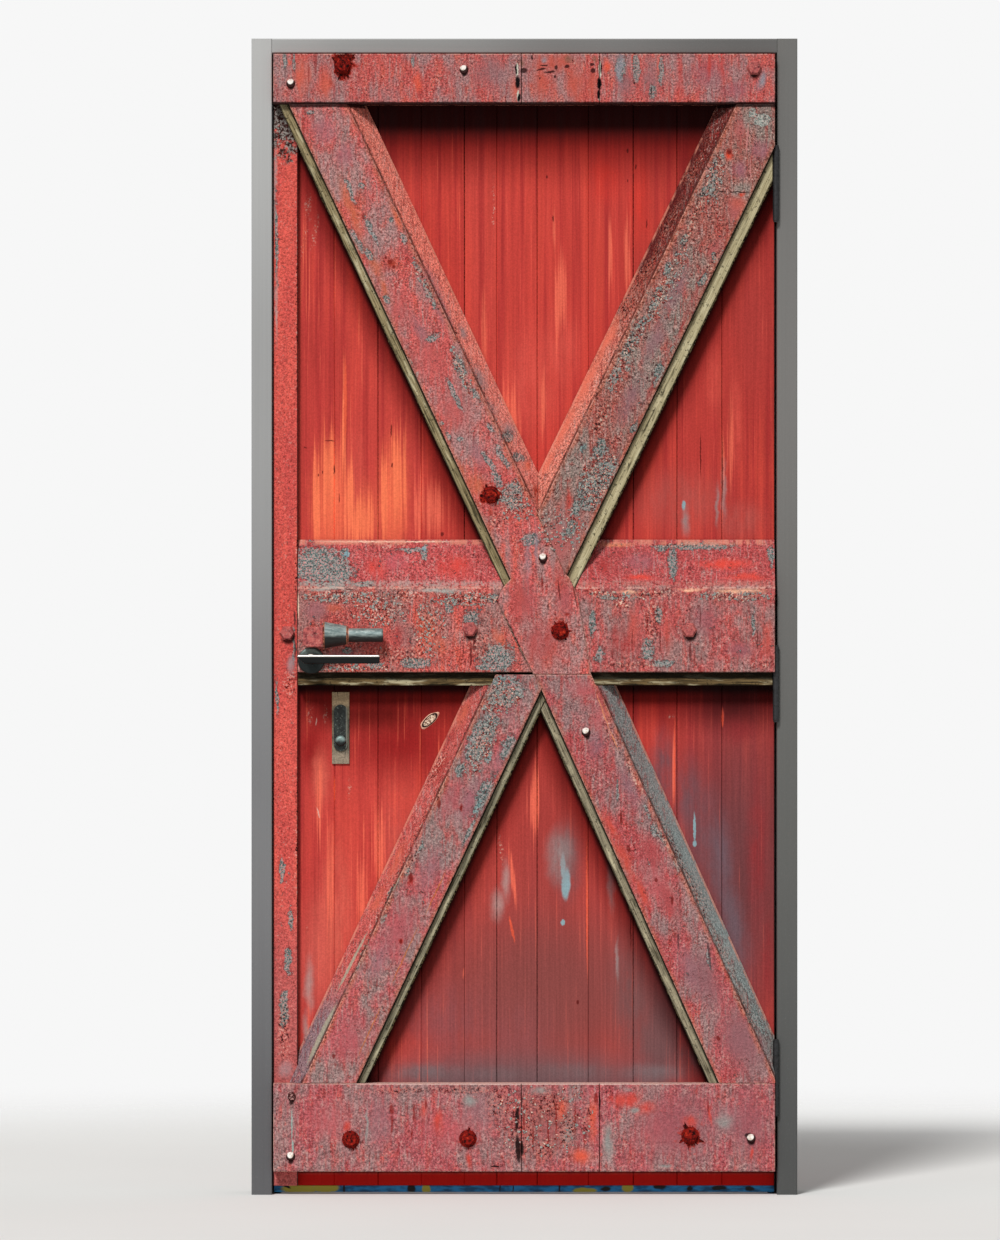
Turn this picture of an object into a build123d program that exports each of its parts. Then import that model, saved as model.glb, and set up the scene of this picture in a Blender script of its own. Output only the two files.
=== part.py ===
# Hinged plank door in barn style, with its folded steel frame.
# Millimetres. X runs right, Y runs back from the viewer, Z runs up.
# The origin is on the floor, at the middle of the width and of the depth.
from build123d import *
from math import cos, hypot, radians, sin, sqrt
import os

# Leaf
leaf_width = 880.0
leaf_height = 2000.0
floor_gap = 3.0
head_gap = 2.5
lock_gap = 3.0

# Steel frame, folded from one sheet thickness
sheet = 1.5
bend_radius = 2.5
jamb_face = 36.0
head_face = 25.5
rebate_depth = 50.0
stop_width = 15.0
frame_depth = 110.0
wall_return = 15.0
gasket_width = 9.0
gasket_thickness = 2.4
gasket_inset = 1.5
fixing_radius = 4.5
fixing_pitch = 500.0
fixing_count = 4
fixing_depth = 82.0

# Planks, from left to right; the ones under the locks keep their width on any leaf
plank_widths = [106, 77, 76, 76, 57, 71, 90, 79, 77, 79, 92]
lock_planks = 2
plank_recess = 25.0
plank_thickness = 22.0
plank_gap = 0.8
plank_bevel = 1.0
plank_bottom = 15.0
tongue_length = 6.0
tongue_thickness = 6.0
tongue_clearance = 0.3
strip_thickness = 18.0
strip_gap = 0.8

# Rails and stile, measured forward from the planks
member_depth = 45.0
skin_thickness = 12.0
stile_depth = 15.0
stile_width = 42.5
top_rail_height = 88.0
bottom_rail_height = 154.5
bottom_rail_level = 42.0
mid_rail_level = 918.0
mid_rail_height = 146.0
mid_rail_bevel = 87.0
mid_lath = 23.0
worn_edge = 1.6
joint_gap = 0.5
housing_gap = 0.3
crack_width = 1.6
crack_depth = 6.0
left_crack_inset = 435.0
right_crack_inset = 572.0

# Braces: insets of their middle lines from the edges of the leaf and from the hub,
# widths of their faces, and widths of the bare laths beside them
hub_inset = 464.5
hub_rise = 21.0
hub_lap = 4.0
brace_face = 91.0
lower_left_face_width = 84.0
brace_bevel = 32.0
bevel_land = 3.0
bevel_root = 10.0
upper_left_head = 76.7
upper_right_head = 14.7
upper_right_foot = 2.0
lower_left_head = 26.6
lower_left_foot = 98.8
lower_right_head = 41.7
lower_right_foot = 48.1
upper_left_lath = 16.0
upper_right_lath = 23.0
lower_left_lath = 14.0
lower_right_lath = 16.0

# Hinges
hinge_height = 130.0
hinge_rise = 206.0
middle_hinge_level = 898.0
hinge_drop = 227.0
knuckle_radius = 5.5
knuckle_count = 5
knuckle_gap = 0.4
axis_standoff = 6.5
pin_radius = 3.0
pin_clearance = 0.05
pin_head_radius = 4.6
pin_head_height = 2.5
plate_thickness = 1.8
plate_gap = 0.4
plate_depth = 44.0
plate_notch_clearance = 0.4
relief_clearance = 1.0
hinge_screw_radius = 2.0
hinge_screw_head = 3.8
hinge_screw_depth = 34.0
hinge_screw_pitch = 45.0
frame_screw_length = 9.0
leaf_screw_length = 28.0
screw_clearance = 0.15

# Levers and latch
lever_reach = 82.0
lever_thickness = 12.0
lever_height = 15.0
lever_length = 149.0
lever_tail = 28.0
lever_point = 17.0
lever_neck_radius = 9.0
lever_corner = 3.0
lever_round = 2.0
rose_radius = 23.5
rose_height = 8.0
rose_drop = 2.5
rose_round = 4.0
spindle_side = 8.0
spindle_clearance = 0.6
square_clearance = 0.05
neck_gap = 1.0
handle_socket = 18.0
inside_socket = 12.0
socket_end_gap = 0.5
lever_inset = 66.5
lever_level = 941.0
inside_reach = 55.0
lever_lift = 45.0

latch_inset = 70.8
latch_level = 979.6
latch_side = 35.0
latch_depth = 28.0
latch_standoff = 10.0
latch_corner = 7.0
latch_neck_radius = 12.6
collar_radius = 23.5
collar_tip_radius = 16.0
collar_length = 42.0
bar_radius = 12.0
bar_length = 62.5
bar_round = 3.0
latch_rise = 3.5
cam_length = 76.0
cam_width = 20.0
cam_thickness = 5.0
cam_hub_radius = 13.0
cam_sleeve_radius = 8.0
cam_clearance = 2.0
cam_round = 5.0
cam_entry = 50.0
cam_slot_clearance = 4.0
sleeve_gap = 0.3

# Rim lock on the back, with the bolt that the levers drive
case_width = 80.0
case_height = 60.0
case_depth = 17.0
case_wall = 1.5
case_corner = 4.0
case_inset = 15.5
bolt_height = 18.0
bolt_thickness = 7.0
bolt_length = 64.0
bolt_setback = 7.5
bolt_tail = 24.0
bolt_nose = 1.0
bolt_clearance = 0.4
keep_clearance = 1.0
follower_radius = 8.5
arm_radius = 18.3
arm_width = 5.0
arm_neck = 3.0
arm_slot_clearance = 0.45
arm_slot_depth = 14.0

# Key lock below, with its plate and drop cover
plate_width = 30.5
plate_height = 126.5
plate_level = 756.5
plate_inset = 102.0
key_plate_thickness = 4.0
key_plate_edge = 0.6
cover_width = 24.0
cover_height = 82.0
cover_thickness = 2.4
cover_level = 779.0
cover_gap = 0.3
knob_radius = 9.5
knob_height = 9.0
knob_round = 5.0
cover_pin_radius = 2.2
cover_pin_clearance = 0.1
cover_pin_head_radius = 3.5
cover_pin_head_height = 1.2
cover_end_gap = 0.2
keyhole_rise = 18.0
keyhole_radius = 4.5
keyhole_slot = 13.0
dead_case_width = 112.0
dead_case_height = 90.0
dead_case_depth = 17.0
dead_bolt_length = 40.0
dead_bolt_height = 22.0
bolt_notch_inset = 3.0
bolt_notch = 6.0

# Bolts and screws in the face
bolt_shank_radius = 4.0
small_shank_radius = 2.0
bolt_shank = 38.0
small_shank = 25.0
stile_shank = 12.0
hole_end_gap = 1.0
shank_clearance = 0.2
rusty_head = 29.0
rusty_head_height = 8.5
rusty_head_taper = 22.0
washer_radius = 15.5
washer_thickness = 1.5
painted_head = 28.0
painted_head_height = 8.0
painted_head_taper = 20.0
dome_radius = 8.0
dome_height = 4.0
dome_taper = 30.0

# Places of the bolts and screws: inset from the left edge of the leaf, or from its right
# edge if below zero, and height above the level that the list is named after. Those at the
# hub are measured from its centre, across and up.
rusty_from_top = [(121.8, -20.5)]
rusty_at_hub = [(-82.8, 144.0), (38.3, -95.0)]
rusty_from_bottom_rail = [(135.8, 56.3), (341.3, 58.0), (-149.0, 63.3)]
painted_from_top = [(-36.5, -24.5)]
painted_at_hub = [(-119.7, -91.4), (265.0, -93.0)]
screws_from_top = [(334.3, -28.0), (30.5, -52.6)]
screws_at_hub = [(8.5, 33.3)]
screws_below_hub = [(84.0, -105.2)]
screws_from_bottom_rail = [(-41.8, 58.0), (30.5, 26.5), (32.0, 131.8)]
stile_bolt_from_hub = [(23.5, -98.4)]

# Cutters run past what they cut by this much
overshoot = 1.0
past_end = 160.0

# Derived places
face_y = (lever_reach - frame_depth) / 2
hinge_gap = 2 * plate_thickness + plate_gap
opening = leaf_width + lock_gap + hinge_gap
reveal = opening / 2
soffit = reveal - stop_width
outer_x = reveal + jamb_face
left = -reveal + lock_gap
right = reveal - hinge_gap
top = floor_gap + leaf_height
head_level = top + head_gap
frame_height = head_level + head_face
front = member_depth - plank_recess
plank_front = member_depth - front
plank_back = plank_front + plank_thickness
skin_back = skin_thickness - front
stile_front = plank_front - stile_depth
top_rail_level = top - top_rail_height
bottom_rail_top = bottom_rail_level + bottom_rail_height
mid_fold = mid_rail_level + mid_rail_height
core_top = mid_fold - bevel_root
core_bottom = mid_rail_level - mid_lath
lower_top = mid_rail_level - hub_lap
hinge_x = right + hinge_gap / 2
stile_right = left + stile_width
hub_x = left + hub_inset
hub_level = mid_fold + hub_rise
hinge_levels = [hinge_rise, middle_hinge_level, top - hinge_drop]
spindle_bore = spindle_side / sqrt(2) + spindle_clearance
spindle_socket = spindle_side + 2 * square_clearance
lever_x = left + lever_inset
latch_x = left + latch_inset
half_lift = lever_lift / 2
case_left = left + case_inset
key_x = left + plate_inset + plate_width / 2
keyhole_level = cover_level + keyhole_rise
bolt_level = lever_level + arm_radius
bolt_y0 = plank_back + bolt_setback
bolt_y1 = bolt_y0 + bolt_thickness
cam_y0 = plank_back + case_depth + cam_clearance
cam_y1 = cam_y0 + cam_thickness

# Braces: head, foot, width of the face and width of the bare lath beside it.
# The bevel is on the right of each line as it runs from its first point.
upper_left = ((hub_x, hub_level), (left + upper_left_head, top_rail_level),
              brace_face, upper_left_lath)
upper_right = ((right - upper_right_head, top_rail_level), (hub_x - upper_right_foot, hub_level),
               brace_face, upper_right_lath)
lower_left = ((hub_x - lower_left_head, mid_rail_level), (left + lower_left_foot, bottom_rail_top),
              lower_left_face_width, lower_left_lath)
lower_right = ((right - lower_right_foot, bottom_rail_top), (hub_x + lower_right_head, mid_rail_level),
               brace_face, lower_right_lath)


def layer(y):
    # upright plane at a depth behind the face of the frame; extrusions come forward
    return Plane.XZ.offset(-(face_y + y))


def block(x0, x1, y0, y1, z0, z1):
    with BuildPart() as body:
        with Locations(((x0 + x1) / 2, face_y + (y0 + y1) / 2, (z0 + z1) / 2)):
            Box(x1 - x0, y1 - y0, z1 - z0)
    return body.part


def band(brace, low, high, head_extra=past_end, foot_extra=past_end):
    # corners of a straight strip, from low to high across the line of a brace
    (ax, az), (bx, bz) = brace[0], brace[1]
    length = hypot(bx - ax, bz - az)
    dx, dz = (bx - ax) / length, (bz - az) / length
    ax, az = ax - dx * head_extra, az - dz * head_extra
    bx, bz = bx + dx * foot_extra, bz + dz * foot_extra
    return [(ax + dz * low, az - dx * low), (bx + dz * low, bz - dx * low),
            (bx + dz * high, bz - dx * high), (ax + dz * high, az - dx * high)]


def prism(brace, outline):
    # solid of one section, run along the line of a brace and past both its ends
    (ax, az), (bx, bz) = brace[0], brace[1]
    along = Vector(bx - ax, 0, bz - az).normalized()
    across = Vector(along.Z, 0, -along.X)
    start = Vector(ax, face_y, az) - along * past_end
    with BuildPart() as bar:
        with BuildSketch(Plane(origin=start, x_dir=across, z_dir=along)):
            Polygon(*outline, align=None)
        extrude(amount=hypot(bx - ax, bz - az) + 2 * past_end)
    return bar.part


def wedge_outline(edge, width):
    # bevel section: full thickness at the edge of the face, a thin land at the planks
    return [(edge - bevel_root, -front), (edge, -front), (edge + width, plank_front - bevel_land),
            (edge + width, plank_front), (edge - bevel_root, plank_front)]


def crossing(first, first_offset, second, second_offset):
    # point where two lines meet, each offset to the right of its brace
    points = []
    for brace, offset in ((first, first_offset), (second, second_offset)):
        (ax, az), (bx, bz) = brace[0], brace[1]
        length = hypot(bx - ax, bz - az)
        dx, dz = (bx - ax) / length, (bz - az) / length
        points.append((ax + dz * offset, az - dx * offset, dx, dz))
    (ax, az, adx, adz), (bx, bz, bdx, bdz) = points
    t = ((bx - ax) * bdz - (bz - az) * bdx) / (adx * bdz - adz * bdx)
    return ax + adx * t, az + adz * t


def spots(level, places):
    # x and z of a list of insets and heights
    return [((left if inset > 0 else right) + inset, level + rise) for inset, rise in places]


def round_hub(level, places):
    # x and z of a list of places measured across from the hub and up from a level
    return [(hub_x + across, level + rise) for across, rise in places]


def keep(part, path):
    part.label = path
    export_step(part, "parts/" + path + ".step")


os.makedirs("parts", exist_ok=True)

# Shared cutters
hinge_relief_radius = knuckle_radius + relief_clearance
relief_height = hinge_height + 2 * (pin_head_height + relief_clearance)
with BuildPart() as hinge_relief:
    for level in hinge_levels:
        with Locations((hinge_x, face_y - axis_standoff, level)):
            Cylinder(hinge_relief_radius, relief_height)
hinge_relief = hinge_relief.part

stile_space = block(left - overshoot, stile_right + housing_gap, stile_front - housing_gap,
                    plank_back, 0, top)

# Bolts and screws on the face, as x and z
rusty_places = spots(top, rusty_from_top) + round_hub(hub_level, rusty_at_hub) + \
    spots(bottom_rail_level, rusty_from_bottom_rail)
painted_places = spots(top, painted_from_top) + round_hub(hub_level, painted_at_hub)
dome_places = spots(top, screws_from_top) + round_hub(hub_level, screws_at_hub) + \
    round_hub(mid_rail_level, screws_below_hub) + spots(bottom_rail_level, screws_from_bottom_rail)
stile_bolt_place = spots(hub_level, stile_bolt_from_hub)[0]

with BuildPart() as bores:
    with BuildSketch(layer(bolt_shank - front)):
        with Locations(*rusty_places, *painted_places):
            Circle(bolt_shank_radius + shank_clearance)
    extrude(amount=bolt_shank + overshoot)
    with BuildSketch(layer(small_shank - front)):
        with Locations(*dome_places):
            Circle(small_shank_radius + shank_clearance)
    extrude(amount=small_shank + overshoot)
    with BuildSketch(layer(plank_back + overshoot)):
        with Locations((lever_x, lever_level), (latch_x, latch_level)):
            Circle(spindle_bore)
    extrude(amount=plank_back + front + 2 * overshoot)
bores = bores.part

# Steel frame: jambs with face, reveal, stop, soffit and wall returns
keep_slots = ((bolt_level, bolt_height), (keyhole_level, dead_bolt_height))
cam_slot_low = latch_level - cam_width / 2 - cam_slot_clearance
cam_slot_high = latch_level + cam_entry + cam_slot_clearance
jambs = []
for name, side, turn in (("hinge_jamb", 1, Side.RIGHT), ("lock_jamb", -1, Side.LEFT)):
    with BuildPart() as jamb:
        with BuildSketch(Plane.XY):
            with BuildLine():
                FilletPolyline(
                    (side * outer_x, face_y + wall_return), (side * outer_x, face_y),
                    (side * reveal, face_y), (side * reveal, face_y + rebate_depth),
                    (side * soffit, face_y + rebate_depth), (side * soffit, face_y + frame_depth),
                    (side * outer_x, face_y + frame_depth),
                    (side * outer_x, face_y + frame_depth - wall_return), radius=bend_radius)
                offset(amount=sheet, side=turn)
            make_face()
        extrude(amount=frame_height)
        first_fixing = frame_height / 2 - fixing_pitch * (fixing_count - 1) / 2
        for number in range(fixing_count):
            level = first_fixing + number * fixing_pitch
            with Locations((side * soffit, face_y + fixing_depth, level)):
                Cylinder(fixing_radius, 4 * sheet, rotation=(0, 90, 0), mode=Mode.SUBTRACT)
        if side == 1:
            for level in hinge_levels:
                for step in (-1, 0, 1):
                    spot = (reveal, face_y + hinge_screw_depth, level + step * hinge_screw_pitch)
                    with Locations(spot):
                        Cylinder(hinge_screw_radius + screw_clearance, 4 * sheet,
                                 rotation=(0, 90, 0), mode=Mode.SUBTRACT)
        else:
            for level, height in keep_slots:
                with Locations((-soffit, face_y + (bolt_y0 + bolt_y1) / 2, level)):
                    Box(4 * sheet, bolt_thickness + 2 * keep_clearance, height + 2 * keep_clearance,
                        mode=Mode.SUBTRACT)
            with Locations((-soffit, face_y + (cam_y0 + cam_y1) / 2, (cam_slot_low + cam_slot_high) / 2)):
                Box(4 * sheet, cam_thickness + 2 * keep_clearance, cam_slot_high - cam_slot_low,
                    mode=Mode.SUBTRACT)
    jambs.append(jamb.part)
    keep(jamb.part, name)

with BuildPart() as frame_head:
    with BuildSketch(Plane.YZ):
        with BuildLine():
            FilletPolyline(
                (face_y + wall_return, frame_height), (face_y, frame_height),
                (face_y, head_level), (face_y + rebate_depth, head_level),
                (face_y + rebate_depth, head_level - stop_width),
                (face_y + frame_depth, head_level - stop_width),
                (face_y + frame_depth, frame_height),
                (face_y + frame_depth - wall_return, frame_height), radius=bend_radius)
            offset(amount=sheet, side=Side.LEFT)
        make_face()
    extrude(amount=reveal, both=True)
    for side in (-1, 1):
        with Locations((side * (soffit + stop_width), face_y + frame_depth, head_level)):
            Box(2 * stop_width, 2 * (frame_depth - rebate_depth), 4 * head_face, mode=Mode.SUBTRACT)
    add(jambs, mode=Mode.SUBTRACT)
keep(frame_head.part, "frame_head")

gasket_edge = soffit + gasket_inset
with BuildPart() as gasket:
    with BuildSketch(layer(rebate_depth)):
        outer = gasket_edge + gasket_width
        gasket_top = head_level - stop_width + gasket_inset
        with Locations((0, (gasket_top + gasket_width) / 2)):
            Rectangle(2 * outer, gasket_top + gasket_width)
        with Locations((0, gasket_top / 2)):
            Rectangle(2 * gasket_edge, gasket_top, mode=Mode.SUBTRACT)
    extrude(amount=gasket_thickness)
keep(gasket.part, "frame_gasket")

# Planks with tongues and grooves, their front edges bevelled
with BuildPart() as keyhole:
    with BuildSketch(layer(plank_back + dead_case_depth)):
        with Locations((key_x, keyhole_level)):
            Circle(keyhole_radius)
        with Locations((key_x, keyhole_level - keyhole_slot / 2)):
            Rectangle(keyhole_radius, keyhole_slot)
    extrude(amount=plank_thickness + dead_case_depth + 2 * key_plate_thickness)
keyhole = keyhole.part

tongue_y = face_y + plank_front + plank_thickness / 2
lock_width = sum(plank_widths[:lock_planks])
plank_scale = (leaf_width - lock_width) / (sum(plank_widths) - lock_width)
edge = left
for number, share in enumerate(plank_widths):
    width = share if number < lock_planks else share * plank_scale
    low = edge + (plank_gap / 2 if number else 0)
    last = number == len(plank_widths) - 1
    high = edge + width - (0 if last else plank_gap / 2)
    y0, y1 = face_y + plank_front, face_y + plank_back
    with BuildPart() as plank:
        with BuildSketch(Plane.XY.offset(plank_bottom)):
            Polygon((low, y0 + plank_bevel), (low + plank_bevel, y0), (high - plank_bevel, y0),
                    (high, y0 + plank_bevel), (high, y1), (low, y1), align=None)
            if not last:
                with Locations((high + tongue_length / 2, tongue_y)):
                    Rectangle(tongue_length, tongue_thickness)
            if number:
                groove = tongue_length + tongue_clearance
                with Locations((low + groove / 2 - plank_gap / 2, tongue_y)):
                    Rectangle(groove + plank_gap, tongue_thickness + 2 * tongue_clearance,
                              mode=Mode.SUBTRACT)
        extrude(amount=top - plank_bottom)
        add(bores, mode=Mode.SUBTRACT)
        add(keyhole, mode=Mode.SUBTRACT)
        if last:
            for level in hinge_levels:
                for step in (-1, 0, 1):
                    spot = (right, face_y + hinge_screw_depth, level + step * hinge_screw_pitch)
                    with Locations(spot):
                        Cylinder(hinge_screw_radius + screw_clearance, 2 * leaf_screw_length,
                                 rotation=(0, 90, 0), mode=Mode.SUBTRACT)
    keep(plank.part, f"plank_{number + 1:02d}")
    edge += width

keep(block(left, right, plank_back - strip_thickness, plank_back, floor_gap,
           plank_bottom - strip_gap), "bottom_strip")

# Left stile, thinner than the rails and housed under both of them
with BuildPart() as left_stile:
    with BuildSketch(layer(plank_front)):
        with Locations(((left + stile_right) / 2, (plank_bottom + top_rail_level) / 2)):
            Rectangle(stile_width, top_rail_level - plank_bottom - joint_gap)
    extrude(amount=stile_depth)
    chamfer(left_stile.faces().sort_by(Axis.Y)[0].edges(), worn_edge)
    with Locations((stile_bolt_place[0], face_y + stile_front, stile_bolt_place[1])):
        Cylinder(bolt_shank_radius + shank_clearance, 2 * (stile_shank + hole_end_gap),
                 rotation=(90, 0, 0), mode=Mode.SUBTRACT)
keep(left_stile.part, "left_stile")

# Top and bottom rails, solid boards with two weather cracks each
for name, low, high in (("top_rail", top_rail_level, top),
                        ("bottom_rail", bottom_rail_level, bottom_rail_top)):
    with BuildPart() as rail:
        with BuildSketch(layer(plank_front)):
            with Locations(((left + right) / 2, (low + high) / 2)):
                Rectangle(leaf_width, high - low)
        extrude(amount=member_depth)
        chamfer(rail.faces().sort_by(Axis.Y)[0].edges(), worn_edge)
        if name == "bottom_rail":
            add(stile_space, mode=Mode.SUBTRACT)
        for inset in (left_crack_inset, right_crack_inset):
            with Locations((left + inset, face_y - front, (low + high) / 2)):
                Box(crack_width, 2 * crack_depth, high - low + 2 * overshoot, mode=Mode.SUBTRACT)
        add(bores, mode=Mode.SUBTRACT)
        add(hinge_relief, mode=Mode.SUBTRACT)
    keep(rail.part, name)

# Bare cores behind the painted facings; each shows a lath beside its facing
core_y0, core_y1 = skin_back, plank_front
with BuildPart() as mid_core:
    with BuildSketch(layer(core_y1)):
        with Locations(((stile_right + joint_gap + right) / 2, (core_bottom + core_top) / 2)):
            Rectangle(right - stile_right - joint_gap, core_top - core_bottom)
    extrude(amount=core_y1 - core_y0)
    add(bores, mode=Mode.SUBTRACT)
    add(hinge_relief, mode=Mode.SUBTRACT)
keep(mid_core.part, "mid_rail_core")

valley_x, valley_level = crossing(upper_left, upper_left[2] / 2, upper_right, upper_right[2] / 2)
peak_x = crossing(lower_left, -lower_left[2] / 2 - lower_left[3],
                  lower_right, -lower_right[2] / 2 - lower_right[3])[0]
braces = (
    ("upper_left", upper_left, left, valley_x, core_top, top_rail_level),
    ("upper_right", upper_right, valley_x, right, core_top, top_rail_level),
    ("lower_left", lower_left, left, peak_x, bottom_rail_top, core_bottom),
    ("lower_right", lower_right, peak_x, right, bottom_rail_top, core_bottom),
)
for name, brace, low_x, high_x, low_z, high_z in braces:
    width, lath = brace[2], brace[3]
    zone = block(low_x + joint_gap / 2 * (low_x != left), high_x - joint_gap / 2 * (high_x != right),
                 core_y0 - overshoot, core_y1 + overshoot, low_z + joint_gap, high_z - joint_gap)
    with BuildPart() as core:
        with BuildSketch(layer(core_y1)):
            Polygon(*band(brace, -width / 2 - lath, width / 2 - bevel_root), align=None)
        extrude(amount=core_y1 - core_y0)
        add(zone, mode=Mode.INTERSECT)
        add(stile_space, mode=Mode.SUBTRACT)
        add(bores, mode=Mode.SUBTRACT)
        add(hinge_relief, mode=Mode.SUBTRACT)
    keep(core.part, name + "_core")

# Outlines of the painted faces, drawn on the front of the leaf; the hub joins the upper left brace
hub_right = [(hub_x + 92.8, lower_top), (hub_x + 69.9, mid_fold - 10.7),
             (hub_x + 54.5, hub_level), (hub_x + 30, hub_level + 20)]
hub_left = [(hub_x - 40, hub_level + 6), (hub_x - 66, mid_fold - 2), (hub_x - 72.3, mid_fold - 23),
            (hub_x - 8.2, lower_top)]
with BuildSketch() as centre_face:
    Polygon(*band(upper_left, -upper_left[2] / 2, upper_left[2] / 2, 25), align=None)
    Polygon(*hub_right, *hub_left, align=None)
    with Locations(((left + right) / 2, (lower_top + top_rail_level) / 2)):
        Rectangle(leaf_width, top_rail_level - lower_top, mode=Mode.INTERSECT)
with BuildSketch() as right_face:
    Polygon(*band(upper_right, -upper_right[2] / 2, upper_right[2] / 2, past_end, 0), align=None)
    with Locations(((left + right) / 2, (hub_level + top_rail_level) / 2)):
        Rectangle(leaf_width, top_rail_level - hub_level, mode=Mode.INTERSECT)
    add(centre_face.sketch, mode=Mode.SUBTRACT)
with BuildSketch() as foot_right_face:
    Polygon(*band(lower_right, -lower_right[2] / 2, lower_right[2] / 2), align=None)
    with Locations(((left + right) / 2, (bottom_rail_top + lower_top) / 2)):
        Rectangle(leaf_width, lower_top - bottom_rail_top, mode=Mode.INTERSECT)
with BuildSketch() as foot_left_face:
    Polygon(*band(lower_left, -lower_left[2] / 2, lower_left[2] / 2), align=None)
    with Locations(((left + right) / 2, (bottom_rail_top + lower_top) / 2)):
        Rectangle(leaf_width, lower_top - bottom_rail_top, mode=Mode.INTERSECT)
    add(foot_right_face.sketch, mode=Mode.SUBTRACT)
with BuildSketch() as rail_left_face:
    with Locations(((stile_right + hub_x) / 2, (mid_rail_level + mid_fold) / 2)):
        Rectangle(hub_x - stile_right, mid_rail_height)
    add(centre_face.sketch, mode=Mode.SUBTRACT)
with BuildSketch() as rail_right_face:
    with Locations(((hub_x + right) / 2, (mid_rail_level + mid_fold) / 2)):
        Rectangle(right - hub_x, mid_rail_height)
    add(centre_face.sketch, mode=Mode.SUBTRACT)

# Bevels beside the faces, each trimmed to the panel that it borders
rail_line = ((right, mid_fold), (left, mid_fold), 0.0, 0.0)
rail_wedge = prism(rail_line, wedge_outline(0, mid_rail_bevel))
facings = (
    ("upper_left_facing", centre_face, upper_left, (left, valley_x, valley_level, top_rail_level)),
    ("upper_right_facing", right_face, upper_right, (valley_x, right, valley_level, top_rail_level)),
    ("lower_left_facing", foot_left_face, lower_left, (left, peak_x, bottom_rail_top, core_bottom)),
    ("lower_right_facing", foot_right_face, lower_right, (peak_x, right, bottom_rail_top, core_bottom)),
    ("mid_left_facing", rail_left_face, None, (stile_right, valley_x, core_top, top_rail_level)),
    ("mid_right_facing", rail_right_face, None, (valley_x, right, core_top, top_rail_level)),
)
with BuildPart() as upper_cores:
    for brace in (upper_left, upper_right):
        with BuildSketch(layer(plank_front + overshoot)):
            Polygon(*band(brace, -brace[2] / 2 - brace[3] - joint_gap, brace[2] / 2), align=None)
        extrude(amount=member_depth + 2 * overshoot)
    with BuildSketch(layer(plank_front + overshoot)):
        add(centre_face.sketch)
    extrude(amount=member_depth + 2 * overshoot)
    add(block(left, right, -front - overshoot, plank_front + overshoot, core_top, top),
        mode=Mode.INTERSECT)
upper_cores = upper_cores.part
for name, outline, brace, (low_x, high_x, low_z, high_z) in facings:
    zone = block(low_x + joint_gap / 2, high_x - (joint_gap / 2 if high_x != right else 0),
                 -front - overshoot, plank_front + overshoot, low_z + joint_gap, high_z - joint_gap)
    with BuildPart() as bevel:
        add(prism(brace, wedge_outline(brace[2] / 2, brace_bevel)) if brace else rail_wedge)
        add(zone, mode=Mode.INTERSECT)
        if not brace:
            add(upper_cores, mode=Mode.SUBTRACT)
    with BuildPart() as facing:
        with BuildSketch(layer(skin_back)):
            add(outline.sketch)
            offset(amount=-joint_gap / 2, kind=Kind.INTERSECTION, mode=Mode.REPLACE)
        extrude(amount=skin_thickness - worn_edge)
        extrude(facing.faces().sort_by(Axis.Y)[0], amount=worn_edge, taper=45)
        add(bevel.part)
        add(stile_space, mode=Mode.SUBTRACT)
        add(bores, mode=Mode.SUBTRACT)
        add(hinge_relief, mode=Mode.SUBTRACT)
    keep(facing.part, name)

# Hinges: three knuckles on the frame, two on the leaf, one pin
pitch = hinge_height / knuckle_count
plate_y0, plate_y1 = face_y - axis_standoff, face_y + plate_depth
for number, level in enumerate(hinge_levels):
    for name, low_x, high_x, own in (("frame", hinge_x + plate_gap / 2, reveal, (0, 2, 4)),
                                     ("leaf", right, hinge_x - plate_gap / 2, (1, 3))):
        away = -1 if name == "frame" else 1
        face_x = low_x if name == "frame" else high_x
        with BuildPart() as half:
            with Locations(((low_x + high_x) / 2, (plate_y0 + plate_y1) / 2, level)):
                Box(high_x - low_x, plate_y1 - plate_y0, hinge_height)
            for index in range(knuckle_count):
                middle = level - hinge_height / 2 + (index + 0.5) * pitch
                with Locations((hinge_x, plate_y0, middle)):
                    if index in own:
                        Cylinder(knuckle_radius, pitch - knuckle_gap)
                    else:
                        Cylinder(knuckle_radius + plate_notch_clearance, pitch + knuckle_gap,
                                 mode=Mode.SUBTRACT)
            with Locations((hinge_x, plate_y0, level)):
                Cylinder(pin_radius + pin_clearance, hinge_height + 2 * overshoot, mode=Mode.SUBTRACT)
            for step in (-1, 0, 1):
                spot = (face_x, face_y + hinge_screw_depth, level + step * hinge_screw_pitch)
                with Locations(Plane(origin=spot, z_dir=(away, 0, 0))):
                    CounterSinkHole(hinge_screw_radius + screw_clearance,
                                    hinge_screw_head + screw_clearance, 2 * plate_thickness)
        keep(half.part, f"hinge_{name}_leaf_{number + 1}")

with BuildPart() as pins:
    for level in hinge_levels:
        with Locations((hinge_x, plate_y0, level)):
            Cylinder(pin_radius, hinge_height)
        for side in (-1, 1):
            middle = level + side * (hinge_height + pin_head_height) / 2
            with Locations((hinge_x, plate_y0, middle)):
                Cylinder(pin_head_radius, pin_head_height)
keep(pins.part, "hinge_pins")

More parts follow.
